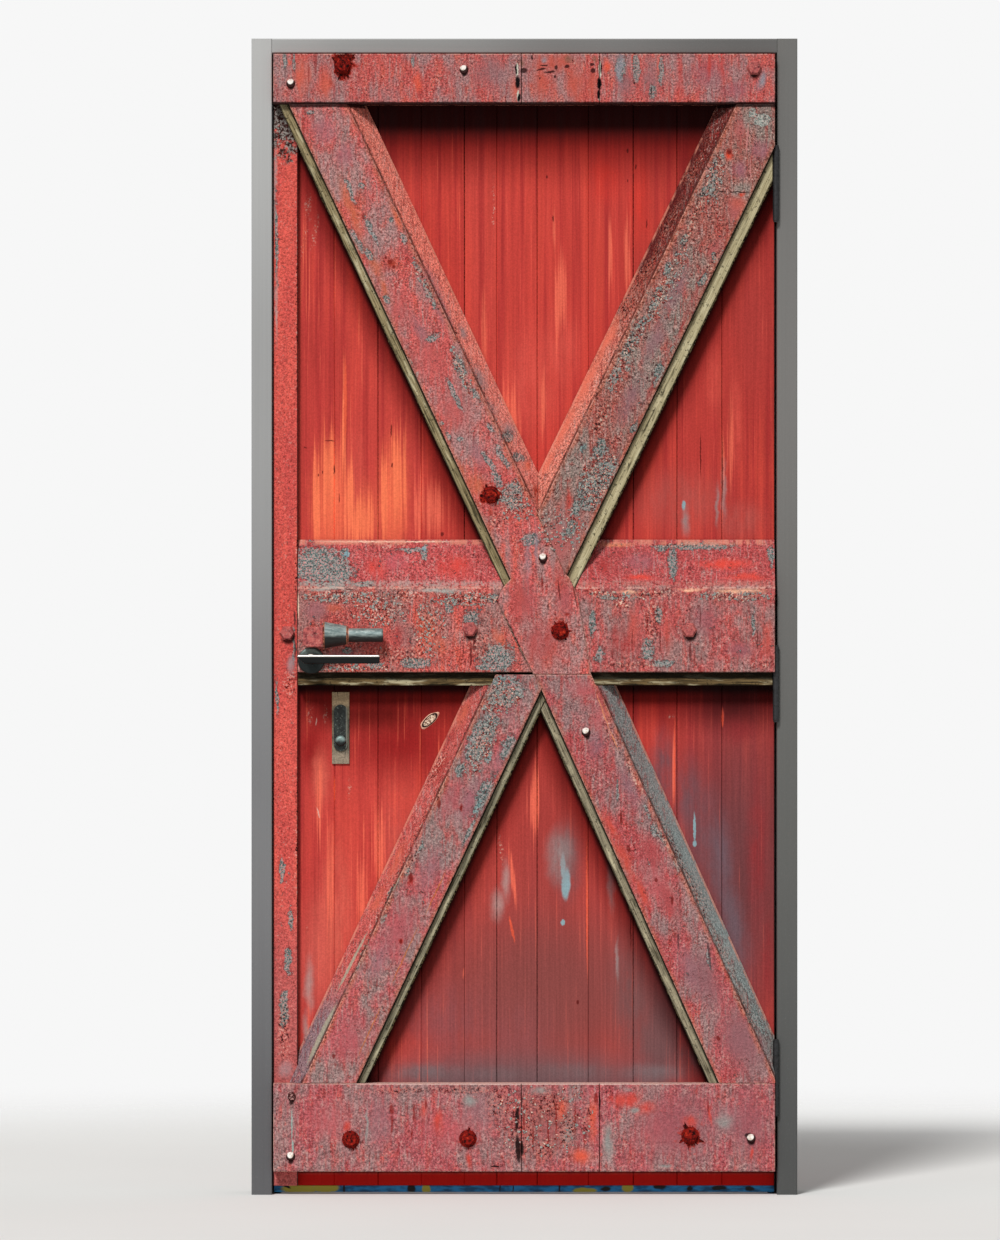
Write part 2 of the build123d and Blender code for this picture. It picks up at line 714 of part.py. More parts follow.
head_drop = hinge_screw_head - hinge_screw_radius
for name, face_x, away, length in (
        ("frame_hinge_screws", hinge_x + plate_gap / 2, 1, frame_screw_length),
        ("leaf_hinge_screws", hinge_x - plate_gap / 2, -1, leaf_screw_length)):
    with BuildPart() as screws:
        for level in hinge_levels:
            for step in (-1, 0, 1):
                spot = (face_x, face_y + hinge_screw_depth, level + step * hinge_screw_pitch)
                with BuildSketch(Plane(origin=spot, z_dir=(away, 0, 0))):
                    Circle(hinge_screw_radius)
                extrude(amount=length)
                with Locations(Plane(origin=spot, z_dir=(away, 0, 0))):
                    Cone(hinge_screw_head, hinge_screw_radius, head_drop,
                         align=(Align.CENTER, Align.CENTER, Align.MIN))
    keep(screws.part, name)

# Bolts and screws in the face
with BuildPart() as rusty_bolts:
    with BuildSketch(layer(bolt_shank - front - hole_end_gap)):
        with Locations(*rusty_places):
            Circle(bolt_shank_radius)
    extrude(amount=bolt_shank - hole_end_gap)
    with BuildSketch(layer(-front)):
        with Locations(*rusty_places):
            Circle(washer_radius)
    extrude(amount=washer_thickness)
    with BuildSketch(layer(-front - washer_thickness)):
        with Locations(*rusty_places):
            RegularPolygon(rusty_head / 2, 6)
    extrude(amount=rusty_head_height, taper=rusty_head_taper)
keep(rusty_bolts.part, "rusty_bolts")

with BuildPart() as painted_bolts:
    for x, z in painted_places + [stile_bolt_place]:
        on_stile = (x, z) == stile_bolt_place
        seat = stile_front if on_stile else -front
        shank = stile_shank if on_stile else bolt_shank - hole_end_gap
        with BuildSketch(layer(seat + shank)):
            with Locations((x, z)):
                Circle(bolt_shank_radius)
        extrude(amount=shank)
        with BuildSketch(layer(seat)):
            with Locations((x, z)):
                RegularPolygon(painted_head / 2, 6)
        extrude(amount=painted_head_height, taper=painted_head_taper)
keep(painted_bolts.part, "painted_bolts")

with BuildPart() as dome_screws:
    with BuildSketch(layer(small_shank - front - hole_end_gap)):
        with Locations(*dome_places):
            Circle(small_shank_radius)
    extrude(amount=small_shank - hole_end_gap)
    with BuildSketch(layer(-front)):
        with Locations(*dome_places):
            Circle(dome_radius)
    extrude(amount=dome_height, taper=dome_taper)
keep(dome_screws.part, "dome_screws")

# Lever handles, their spindle and the follower inside the rim lock
with BuildPart() as rose:
    with BuildSketch(layer(-front)):
        with Locations((lever_x, lever_level - rose_drop)):
            Circle(rose_radius)
    extrude(amount=rose_height)
    fillet(rose.faces().sort_by(Axis.Y)[0].edges(), rose_round)
    with BuildSketch(layer(-front)):
        with Locations((lever_x, lever_level)):
            Circle(lever_neck_radius + spindle_clearance)
    extrude(amount=rose_height, mode=Mode.SUBTRACT)
keep(rose.part, "lever_rose")

blade = [(lever_x - lever_tail, lever_level + lever_height / 2),
         (lever_x - lever_tail + lever_length, lever_level + lever_height / 2),
         (lever_x - lever_tail + lever_length, lever_level - lever_height / 2),
         (lever_x - lever_tail + lever_point, lever_level - lever_height / 2)]
outside_neck = -front - neck_gap
inside_neck = plank_back + case_depth + neck_gap
for name, neck_from, blade_front, socket in (
        ("lever_handle", outside_neck, -lever_reach, -handle_socket),
        ("inside_lever", inside_neck, plank_back + inside_reach - lever_thickness, inside_socket)):
    near, far = sorted((neck_from, blade_front + lever_thickness / 2))
    with BuildPart() as lever:
        with BuildSketch(layer(blade_front + lever_thickness)):
            Polygon(*blade, align=None)
        extrude(amount=lever_thickness)
        fillet(lever.edges().filter_by(Axis.Y), lever_corner)
        fillet(lever.faces().sort_by(Axis.Y)[0].edges(), lever_round)
        with BuildSketch(layer(far)):
            with Locations((lever_x, lever_level)):
                Circle(lever_neck_radius)
        extrude(amount=far - near)
        with BuildSketch(layer(neck_from)):
            with Locations((lever_x, lever_level)):
                Rectangle(spindle_socket, spindle_socket)
        extrude(amount=-socket, mode=Mode.SUBTRACT)
    keep(lever.part, name)

with BuildPart() as spindle:
    spindle_from = outside_neck - handle_socket + socket_end_gap
    spindle_to = inside_neck + inside_socket - socket_end_gap
    with BuildSketch(layer(spindle_to)):
        with Locations((lever_x, lever_level)):
            Rectangle(spindle_side, spindle_side)
    extrude(amount=spindle_to - spindle_from)
keep(spindle.part, "lever_spindle")

# Rim lock case on the back, its bolt, and the follower with its arm
with BuildPart() as rim_case:
    with BuildSketch(layer(plank_back + case_depth)):
        with Locations((case_left + case_width / 2, lever_level)):
            RectangleRounded(case_width, case_height, case_corner)
    extrude(amount=case_depth)
    with BuildSketch(layer(plank_back + case_depth - case_wall)):
        with Locations((case_left + case_width / 2, lever_level)):
            Rectangle(case_width - 2 * case_wall, case_height - 2 * case_wall)
    extrude(amount=case_depth, mode=Mode.SUBTRACT)
    with BuildSketch(layer(plank_back + case_depth + overshoot)):
        with Locations((lever_x, lever_level)):
            Circle(spindle_bore)
    extrude(amount=case_depth + 2 * overshoot, mode=Mode.SUBTRACT)
    with Locations((case_left, face_y + (bolt_y0 + bolt_y1) / 2, bolt_level)):
        Box(4 * case_wall, bolt_thickness + 2 * bolt_clearance, bolt_height + 2 * bolt_clearance,
            mode=Mode.SUBTRACT)
keep(rim_case.part, "rim_lock_case")

slot_x = lever_x + arm_radius * sin(radians(half_lift))
tail_bottom = lever_level + arm_radius * cos(radians(half_lift)) - arm_width / 2
with BuildPart() as lock_bolt:
    with BuildSketch(layer(bolt_y1)):
        with Locations((case_left + bolt_length / 2, bolt_level)):
            Rectangle(bolt_length, bolt_height)
        with Locations((lever_x, tail_bottom - bolt_height / 2)):
            Rectangle(2 * bolt_tail, bolt_height, mode=Mode.SUBTRACT)
        with Locations((slot_x, bolt_level - bolt_height / 2)):
            Rectangle(arm_width + 2 * arm_slot_clearance, 2 * arm_slot_depth, mode=Mode.SUBTRACT)
    extrude(amount=bolt_thickness)
    chamfer(lock_bolt.faces().sort_by(Axis.X)[0].edges(), bolt_nose)
keep(lock_bolt.part, "lock_bolt")

with BuildPart() as follower:
    with BuildSketch(layer(bolt_y1)):
        with Locations((lever_x, lever_level)):
            Circle(follower_radius)
        with Locations(Location((lever_x, lever_level, 0), (0, 0, -half_lift))):
            with Locations((0, arm_radius / 2)):
                Rectangle(arm_neck, arm_radius)
            with Locations((0, arm_radius)):
                Circle(arm_width / 2)
        with Locations((lever_x, lever_level)):
            Rectangle(spindle_socket, spindle_socket, mode=Mode.SUBTRACT)
    extrude(amount=bolt_thickness)
keep(follower.part, "lock_follower")

# Old latch above: square head, tapered collar and round bar that turn together
handle_y = -front - latch_standoff - latch_depth / 2
collar_start = latch_x + latch_side / 2
handle_level = latch_level + latch_rise
with BuildPart() as latch_head:
    with BuildSketch(layer(-front - latch_standoff)):
        with Locations((latch_x, latch_level)):
            Rectangle(latch_side, latch_side)
    extrude(amount=latch_depth)
    fillet(latch_head.edges().filter_by(Axis.Y).group_by(Axis.X)[0], latch_corner)
    chamfer(latch_head.faces().sort_by(Axis.Y)[0].edges(), worn_edge)
    with BuildSketch(layer(outside_neck)):
        with Locations((latch_x, latch_level)):
            Circle(latch_neck_radius)
    extrude(amount=latch_standoff - neck_gap)
    with BuildSketch(layer(-front)):
        with Locations((latch_x, latch_level)):
            Rectangle(spindle_socket, spindle_socket)
    extrude(amount=latch_standoff + latch_depth / 2, mode=Mode.SUBTRACT)
keep(latch_head.part, "latch_head")

with BuildPart() as collar:
    with BuildSketch(Plane(origin=(collar_start, face_y + handle_y, handle_level), z_dir=(1, 0, 0))):
        Circle(collar_radius - worn_edge)
    with BuildSketch(Plane(origin=(collar_start + worn_edge, face_y + handle_y, handle_level),
                           z_dir=(1, 0, 0))):
        Circle(collar_radius)
    loft()
    with BuildSketch(Plane(origin=(collar_start + worn_edge, face_y + handle_y, handle_level),
                           z_dir=(1, 0, 0))):
        Circle(collar_radius)
    with BuildSketch(Plane(origin=(collar_start + collar_length, face_y + handle_y, handle_level),
                           z_dir=(1, 0, 0))):
        Circle(collar_tip_radius)
    loft()
keep(collar.part, "latch_collar")

with BuildPart() as bar:
    with BuildSketch(Plane(origin=(collar_start + collar_length, face_y + handle_y, handle_level),
                           z_dir=(1, 0, 0))):
        Circle(bar_radius)
    extrude(amount=bar_length)
    fillet(bar.faces().sort_by(Axis.X)[-1].edges(), bar_round)
keep(bar.part, "latch_bar")

with BuildPart() as latch_spindle:
    with BuildSketch(layer(cam_y1)):
        with Locations((latch_x, latch_level)):
            Rectangle(spindle_side, spindle_side)
    extrude(amount=cam_y1 + front + latch_standoff + latch_depth / 2 - socket_end_gap)
keep(latch_spindle.part, "latch_spindle")

with BuildPart() as cam:
    with BuildSketch(layer(cam_y1)):
        with Locations((latch_x, latch_level)):
            Circle(cam_hub_radius)
        with Locations((latch_x, latch_level + cam_length / 2)):
            Rectangle(cam_width, cam_length)
        with Locations((latch_x, latch_level)):
            Rectangle(spindle_socket, spindle_socket, mode=Mode.SUBTRACT)
    extrude(amount=cam_thickness)
    fillet(cam.edges().filter_by(Axis.Y).group_by(Axis.Z)[-1], cam_round)
    with BuildSketch(layer(cam_y0)):
        with Locations((latch_x, latch_level)):
            Circle(cam_sleeve_radius)
            Rectangle(spindle_socket, spindle_socket, mode=Mode.SUBTRACT)
    extrude(amount=cam_y0 - plank_back - sleeve_gap)
keep(cam.part, "latch_cam")

# Key plate with its keyhole and the drop cover that hangs over it
plate_front = plank_front - key_plate_thickness
cover_back = plate_front - cover_gap
pivot_level = cover_level + cover_height - cover_width / 2
with BuildPart() as key_plate:
    with BuildSketch(layer(plank_front)):
        with Locations((key_x, plate_level + plate_height / 2)):
            Rectangle(plate_width, plate_height)
    extrude(amount=key_plate_thickness)
    chamfer(key_plate.faces().sort_by(Axis.Y)[0].edges(), key_plate_edge)
    add(keyhole, mode=Mode.SUBTRACT)
    with BuildSketch(layer(plate_front)):
        with Locations((key_x, pivot_level)):
            Circle(cover_pin_radius)
    extrude(amount=cover_gap + cover_thickness + cover_end_gap)
    with BuildSketch(layer(cover_back - cover_thickness - cover_end_gap)):
        with Locations((key_x, pivot_level)):
            Circle(cover_pin_head_radius)
    extrude(amount=cover_pin_head_height)
keep(key_plate.part, "key_plate")

with BuildPart() as key_cover:
    with BuildSketch(layer(cover_back)):
        with Locations((key_x, cover_level + cover_height / 2)):
            SlotOverall(cover_height, cover_width, rotation=90)
        with Locations((key_x, pivot_level)):
            Circle(cover_pin_radius + cover_pin_clearance, mode=Mode.SUBTRACT)
    extrude(amount=cover_thickness)
    with BuildSketch(layer(cover_back - cover_thickness)):
        with Locations((key_x, keyhole_level)):
            Circle(knob_radius)
    extrude(amount=knob_height)
    fillet(key_cover.faces().sort_by(Axis.Y)[0].edges(), knob_round)
keep(key_cover.part, "key_cover")

with BuildPart() as dead_case:
    with BuildSketch(layer(plank_back + dead_case_depth)):
        with Locations((case_left + dead_case_width / 2, keyhole_level)):
            RectangleRounded(dead_case_width, dead_case_height, case_corner)
    extrude(amount=dead_case_depth)
    with BuildSketch(layer(plank_back + dead_case_depth - case_wall)):
        with Locations((case_left + dead_case_width / 2, keyhole_level)):
            Rectangle(dead_case_width - 2 * case_wall, dead_case_height - 2 * case_wall)
    extrude(amount=dead_case_depth, mode=Mode.SUBTRACT)
    add(keyhole, mode=Mode.SUBTRACT)
    with Locations((case_left, face_y + (bolt_y0 + bolt_y1) / 2, keyhole_level)):
        Box(4 * case_wall, bolt_thickness + 2 * bolt_clearance, dead_bolt_height + 2 * bolt_clearance,
            mode=Mode.SUBTRACT)
keep(dead_case.part, "dead_lock_case")

with BuildPart() as dead_bolt:
    with BuildSketch(layer(bolt_y1)):
        with Locations((case_left + dead_bolt_length / 2, keyhole_level)):
            Rectangle(dead_bolt_length, dead_bolt_height)
        notch_x = case_left + dead_bolt_length - bolt_notch_inset - bolt_notch / 2
        with Locations((notch_x, keyhole_level - dead_bolt_height / 2)):
            Rectangle(bolt_notch, 2 * bolt_notch, mode=Mode.SUBTRACT)
    extrude(amount=bolt_thickness)
    chamfer(dead_bolt.faces().sort_by(Axis.X)[0].edges(), bolt_nose)
keep(dead_bolt.part, "dead_bolt")
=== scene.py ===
import math
import bpy
import numpy as np
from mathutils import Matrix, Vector


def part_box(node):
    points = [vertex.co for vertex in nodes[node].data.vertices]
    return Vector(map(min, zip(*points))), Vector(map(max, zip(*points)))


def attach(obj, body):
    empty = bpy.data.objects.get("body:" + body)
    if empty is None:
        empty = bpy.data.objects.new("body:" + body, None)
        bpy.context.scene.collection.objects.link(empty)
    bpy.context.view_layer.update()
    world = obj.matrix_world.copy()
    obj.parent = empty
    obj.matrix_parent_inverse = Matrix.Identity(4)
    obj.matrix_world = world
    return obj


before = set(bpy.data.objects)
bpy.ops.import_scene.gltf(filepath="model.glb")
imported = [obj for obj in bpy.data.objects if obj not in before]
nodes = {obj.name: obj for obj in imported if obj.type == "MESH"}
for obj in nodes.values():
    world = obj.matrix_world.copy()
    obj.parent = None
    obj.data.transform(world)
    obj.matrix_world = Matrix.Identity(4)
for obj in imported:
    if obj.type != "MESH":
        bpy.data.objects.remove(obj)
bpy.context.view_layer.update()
print("the frame and the leaf are loaded:", len(nodes), "nodes")

# The photograph is nearly square on, so a pixel stands for one place on the face of the leaf
photo = {
    "wide": 1000,
    "high": 1240,
    "leafLeft": 273.6,
    "floor": 1195.0,
    "metresPerPixel": 0.001756,
}
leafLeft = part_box("top_rail")[0].x
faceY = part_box("top_rail")[0].y
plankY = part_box("plank_05")[0].y
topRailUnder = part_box("top_rail")[0].z
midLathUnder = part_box("mid_rail_core")[0].z
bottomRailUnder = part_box("bottom_rail")[0].z


def fromPhoto(px, py):
    # x and z in metres of a pixel of the photograph
    size = photo["metresPerPixel"]
    return leafLeft + (px - photo["leafLeft"]) * size, (photo["floor"] - py) * size


def tone(code):
    # a paint colour from its screen code, each channel turned into linear light
    def light(value):
        return value / 12.92 if value <= 0.04045 else ((value + 0.055) / 1.055) ** 2.4
    return [light(int(code[k:k + 2], 16) / 255) for k in (1, 3, 5)] + [1.0]


# The four braces: a point on the middle line, its lean, half the painted face, the lath's width,
# the side it is on, and the height it runs from and to
braces = {
    "upper_left": (-0.3638, 1.915, -25.04, 0.0455, 0.016, -1, 1.085, 1.915),
    "upper_right": (0.4248, 1.915, 25.90, 0.0455, 0.023, 1, 1.085, 1.915),
    "lower_left": (-0.3417, 0.1965, 25.18, 0.0420, 0.014, 1, 0.1965, 0.918),
    "lower_right": (0.3914, 0.1965, -24.30, 0.0455, 0.016, -1, 0.1965, 0.918),
}


# What every painted piece has under and between its layers
layTones = {"gritGround": "#c2604c", "peelPits": "#54282a", "peelRim": "#401a1c"}


class Finish:
    # One finish: a material, its shader and the place on the door that its patterns are drawn on

    def __init__(self, name, roughness=0.7, metal=0.0, shine=0.2, seed=0.0):
        self.material = bpy.data.materials.new(name)
        self.material.use_nodes = True
        self.tree = self.material.node_tree
        self.shader = self.tree.nodes["Principled BSDF"]
        for socket, value in (("Roughness", roughness), ("Metallic", metal), ("Specular IOR Level", shine)):
            self.feed(self.shader.inputs[socket], value)
        self.place = self.add("ShaderNodeTexCoord").outputs["Object"]
        self.seed = seed
        self.turns = {}

    def feed(self, socket, value):
        # a socket takes the output of a node, or a plain value
        if isinstance(value, bpy.types.NodeSocket):
            self.tree.links.new(value, socket)
        else:
            socket.default_value = value

    def add(self, kind, feeds=None, **settings):
        # a shader node with its settings and what its sockets take
        node = self.tree.nodes.new(kind)
        for name, value in settings.items():
            setattr(node, name, value)
        for socket, value in (feeds or {}).items():
            self.feed(node.inputs[socket], value)
        return node

    def calc(self, operation, first, second=0.0):
        return self.add("ShaderNodeMath", {0: first, 1: second}, operation=operation).outputs[0]

    def vector(self, operation, *values):
        return self.add("ShaderNodeVectorMath", dict(enumerate(values)), operation=operation)

    def times(self, *values):
        result = values[0]
        for value in values[1:]:
            result = self.calc("MULTIPLY", result, value)
        return result

    def plus(self, first, second, share=1.0):
        return self.calc("ADD", first, self.calc("MULTIPLY", second, share))

    def largest(self, first, second):
        return self.calc("MAXIMUM", first, second)

    def step(self, value, low, high, start=0.0, end=1.0):
        # runs smoothly from start to end as the value goes from low to high
        feeds = dict(enumerate((value, low, high, start, end)))
        return self.add("ShaderNodeMapRange", feeds, interpolation_type="SMOOTHSTEP").outputs[0]

    def within(self, size, centre=(0, 0, 0), lean=0.0, at=None):
        # place measured from a centre, in units of size, leaning to the right by lean degrees
        feeds = {"Vector": at or self.place, "Location": centre, "Rotation": (0, math.radians(lean), 0),
                 "Scale": size}
        return self.add("ShaderNodeMapping", feeds, vector_type="TEXTURE").outputs[0]

    def noise(self, at, detail, rough):
        return self.add("ShaderNodeTexNoise", {"Vector": at, "Scale": 1.0, "Detail": detail, "Roughness": rough})

    def grain(self, size, detail=2.0, lean=0.0, seed=0.0, rough=0.55):
        # cloudy noise, 0 to 1, whose features are as large as size
        size = (size,) * 3 if isinstance(size, float) else size
        seed += self.seed
        centre = (seed * 0.31, seed * 0.17, seed * 0.53)
        return self.noise(self.within(size, centre, lean), detail, rough).outputs[0]

    def axis(self, letter, of=None):
        return self.add("ShaderNodeSeparateXYZ", {0: of or self.place}).outputs[letter]

    def blend(self, factor, first, second, kind="MIX"):
        first, second = [tone(item) if isinstance(item, str) else item for item in (first, second)]
        feeds = {0: factor, 6: first, 7: second}
        return self.add("ShaderNodeMix", feeds, data_type="RGBA", blend_type=kind).outputs[2]

    def laid(self, paint, colour, *shares):
        # a colour over the paint, as strong as the product of the shares
        return self.blend(self.times(*shares), paint, colour)

    def over(self, paint, colour, value, low, high, strength=1.0):
        # a colour over the paint, coming in as the value goes from low to high
        return self.blend(self.step(value, low, high, 0.0, strength), paint, colour)

    def shaded(self, paint, value):
        # the paint, made darker or lighter by a number
        grey = self.add("ShaderNodeCombineColor", dict.fromkeys(range(3), value))
        return self.blend(1.0, paint, grey.outputs[0], "MULTIPLY")

    def ragged(self, size, amount):
        # the place, pushed about by noise, which gives a drawn shape a torn edge
        noise = self.noise(self.within((size,) * 3, (self.seed, 0, 0)), 4.0, 0.65)
        shift = self.vector("SUBTRACT", self.place, (amount / 2, 0, amount / 2)).outputs[0]
        return self.vector("MULTIPLY_ADD", noise.outputs["Color"], (amount, 0, amount), shift).outputs[0]

    def turned(self, at, lean):
        # the place seen with the head tilted by lean degrees, so that a leaning mark stands upright
        key = (at.node.name, lean)
        if lean and key not in self.turns:
            self.turns[key] = self.within((1, 1, 1), (0, 0, 0), lean, at)
        return self.turns[key] if lean else at

    def patches(self, marks, soft=0.6, at=None):
        # the strongest of several ovals: one inside, nothing outside, soft over a share of the radius
        total = None
        for mark in marks:
            x, z, wide, tall, lean = inMetres(mark)
            sine, cosine = math.sin(math.radians(lean)), math.cos(math.radians(lean))
            across, up = x * cosine - z * sine, x * sine + z * cosine
            inside = self.vector("MULTIPLY_ADD", self.turned(at or self.place, lean),
                                 (1 / wide, 0, 1 / tall), (-across / wide, 0, -up / tall))
            length = self.vector("LENGTH", inside.outputs[0]).outputs["Value"]
            oval = self.step(length, 1.0, 1.0 - soft)
            total = oval if total is None else self.largest(total, oval)
        return total

    def weather(self, crumb=0.0042):
        # the noises and torn places that all layers of one paint share
        self.tides = self.grain((0.016, 0.05, 0.05), 4.0, seed=1.0, rough=0.6)
        self.broken = self.grain(0.011, 5.0, seed=2.0, rough=0.66)
        self.crumb = self.grain(crumb, 2.0, seed=3.0, rough=0.7)
        self.sand = self.grain(0.0031, 2.0, seed=4.0, rough=0.8)
        self.fibres = self.grain((0.0036, 0.02, 0.2), 3.0, seed=5.0)
        self.torn = self.ragged(0.03, 0.018)
        self.frayed = self.ragged(0.007, 0.005)

    def lay(self, paint, kind, colour, strength, marks):
        # one layer of the paint's history, laid where its marks are
        if not marks:
            return paint
        if kind == "zone":
            # a wide change of tone
            return self.laid(paint, colour, self.patches(marks, 0.9, self.torn), strength)
        if kind == "wash":
            # soft stain, stronger and weaker in drifts
            drifts = self.step(self.tides, 0.3, 0.6, 0.5 * strength, strength)
            return self.laid(paint, colour, self.patches(marks, 0.95, self.torn), drifts)
        if kind == "drawn":
            # a plain mark with a slightly frayed edge
            return self.laid(paint, colour, self.patches(marks, 0.45, self.frayed), strength)
        if kind == "flames":
            # upright streaks: the marks let through the tall fibres of the noise
            value = self.plus(self.fibres, self.patches(marks, 1.0), 0.42)
            return self.over(paint, colour, value, 0.6, 0.9, strength)
        if kind == "crumbs":
            # loose grit: pale and dark dots side by side
            pale, dark = colour
            mask = self.patches(marks, 0.75, self.torn)
            paint = self.laid(paint, layTones["gritGround"], mask, self.step(self.sand, 0.5, 0.6), 0.5)
            paint = self.laid(paint, pale, mask, self.step(self.crumb, 0.55, 0.66), 0.75 * strength)
            return self.laid(paint, dark, mask, self.step(self.crumb, 0.46, 0.38), strength)
        # peel: coarse and fine noise above a level that the marks bring down, with a dark rim round it
        deep, pale = colour
        value = self.plus(self.times(self.broken, 0.68), self.crumb, 0.32)
        value = self.plus(value, self.patches(marks, 1.0, self.torn), 0.42)
        bare = self.step(value, 0.62, 0.72)
        rim = self.calc("SUBTRACT", self.step(value, 0.58, 0.64), bare)
        bare = self.times(bare, self.step(self.sand, 0.62, 0.5, 0.4, 1.0))
        under = self.blend(self.step(self.sand, 0.38, 0.6), deep, pale)
        under = self.over(under, layTones["peelPits"], self.crumb, 0.46, 0.36, 0.85)
        paint = self.laid(paint, layTones["peelRim"], self.largest(rim, 0.0), 0.6)
        return self.laid(paint, under, bare, strength)

    def bump(self, height, distance, strength=1.0):
        node = self.add("ShaderNodeBump", {"Strength": strength, "Distance": distance, "Height": height})
        self.feed(self.shader.inputs["Normal"], node.outputs[0])

    def colour(self, value):
        self.feed(self.shader.inputs["Base Color"], value)

    def roughness(self, value):
        self.feed(self.shader.inputs["Roughness"], value)

    def wear(self, *names):
        for name in names:
            slots = nodes[name].data.materials
            slots.clear()
            slots.append(self.material)


def inMetres(mark):
    # a mark's place, half width and half height in metres, and its lean, which is 0 where it has none
    px, py, wide, tall, lean = (*mark, 0)[:5]
    x, z = fromPhoto(px, py)
    size = photo["metresPerPixel"]
    return x, z, wide * size, tall * size, lean


def grown(marks, factor):
    return [(px, py, wide * factor, tall * factor, *lean) for px, py, wide, tall, *lean in marks]


def near(marks, node, spare=0.03):
    # the marks that can reach a node, by its sides
    low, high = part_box(node)
    kept = []
    for mark in marks:
        x, z, wide, tall, lean = inMetres(mark)
        turned = abs(math.sin(math.radians(lean)))
        across, up = max(wide, tall * turned) + spare, max(tall, wide * turned) + spare
        if low.x - across < x < high.x + across and low.z - up < z < high.z + up:
            kept.append(mark)
    return kept


# Steel frame: satin grey paint with painted light, palest at the top left as if lit from there and darker
# towards the floor and on the hinge side. Each member goes through four tones, at heights (or, on the head,
# at widths) along it.
frameLook = {
    "lock_jamb": ("Z", (0.03, 0.69, 1.4, 2.0), ("#535355", "#717172", "#959594", "#b0b0ae")),
    "hinge_jamb": ("Z", (0.03, 0.69, 1.4, 2.0), ("#424342", "#565653", "#6e6c69", "#656461")),
    "frame_head": ("X", (-0.47, -0.2, 0.1, 0.4), ("#a2a2a0", "#8d8d8b", "#737270", "#5b5a58")),
    "dust": "#b4b4b2",
    "shine": 0.35,
}


def frameSteel(node, number):
    f = Finish("frame_steel_%d" % number, 0.45, 0.0, frameLook["shine"])
    letter, places, tones = frameLook[node]
    along = f.axis(letter)
    paint = tones[0]
    # painted light: the tones step between the member's shaded end and its lit end
    for k in (1, 2, 3):
        paint = f.over(paint, tones[k], along, places[k - 1], places[k])
    brushed = f.grain((0.0025, 0.01, 0.4) if letter == "Z" else (0.4, 0.01, 0.0025), 3.0)
    cloud = f.grain(0.3, 3.0, seed=4.0)
    paint = f.shaded(paint, f.step(f.plus(f.times(brushed, 0.5), cloud, 0.5), 0.35, 0.65, 0.97, 1.03))
    dust = f.grain(0.0016, 1.0)
    f.colour(f.over(paint, frameLook["dust"], dust, 0.6, 0.85, 0.12))
    f.roughness(f.step(cloud, 0.2, 0.8, 0.4, 0.54))
    f.bump(dust, 0.00012, 0.4)
    f.wear(node)


def gasketRubber():
    f = Finish("gasket_rubber", 0.8)
    f.colour(f.blend(f.grain(0.02, 3.0), "#141415", "#232324"))
    f.bump(f.grain(0.003, 2.0), 0.0002, 0.5)
    f.wear("frame_gasket")


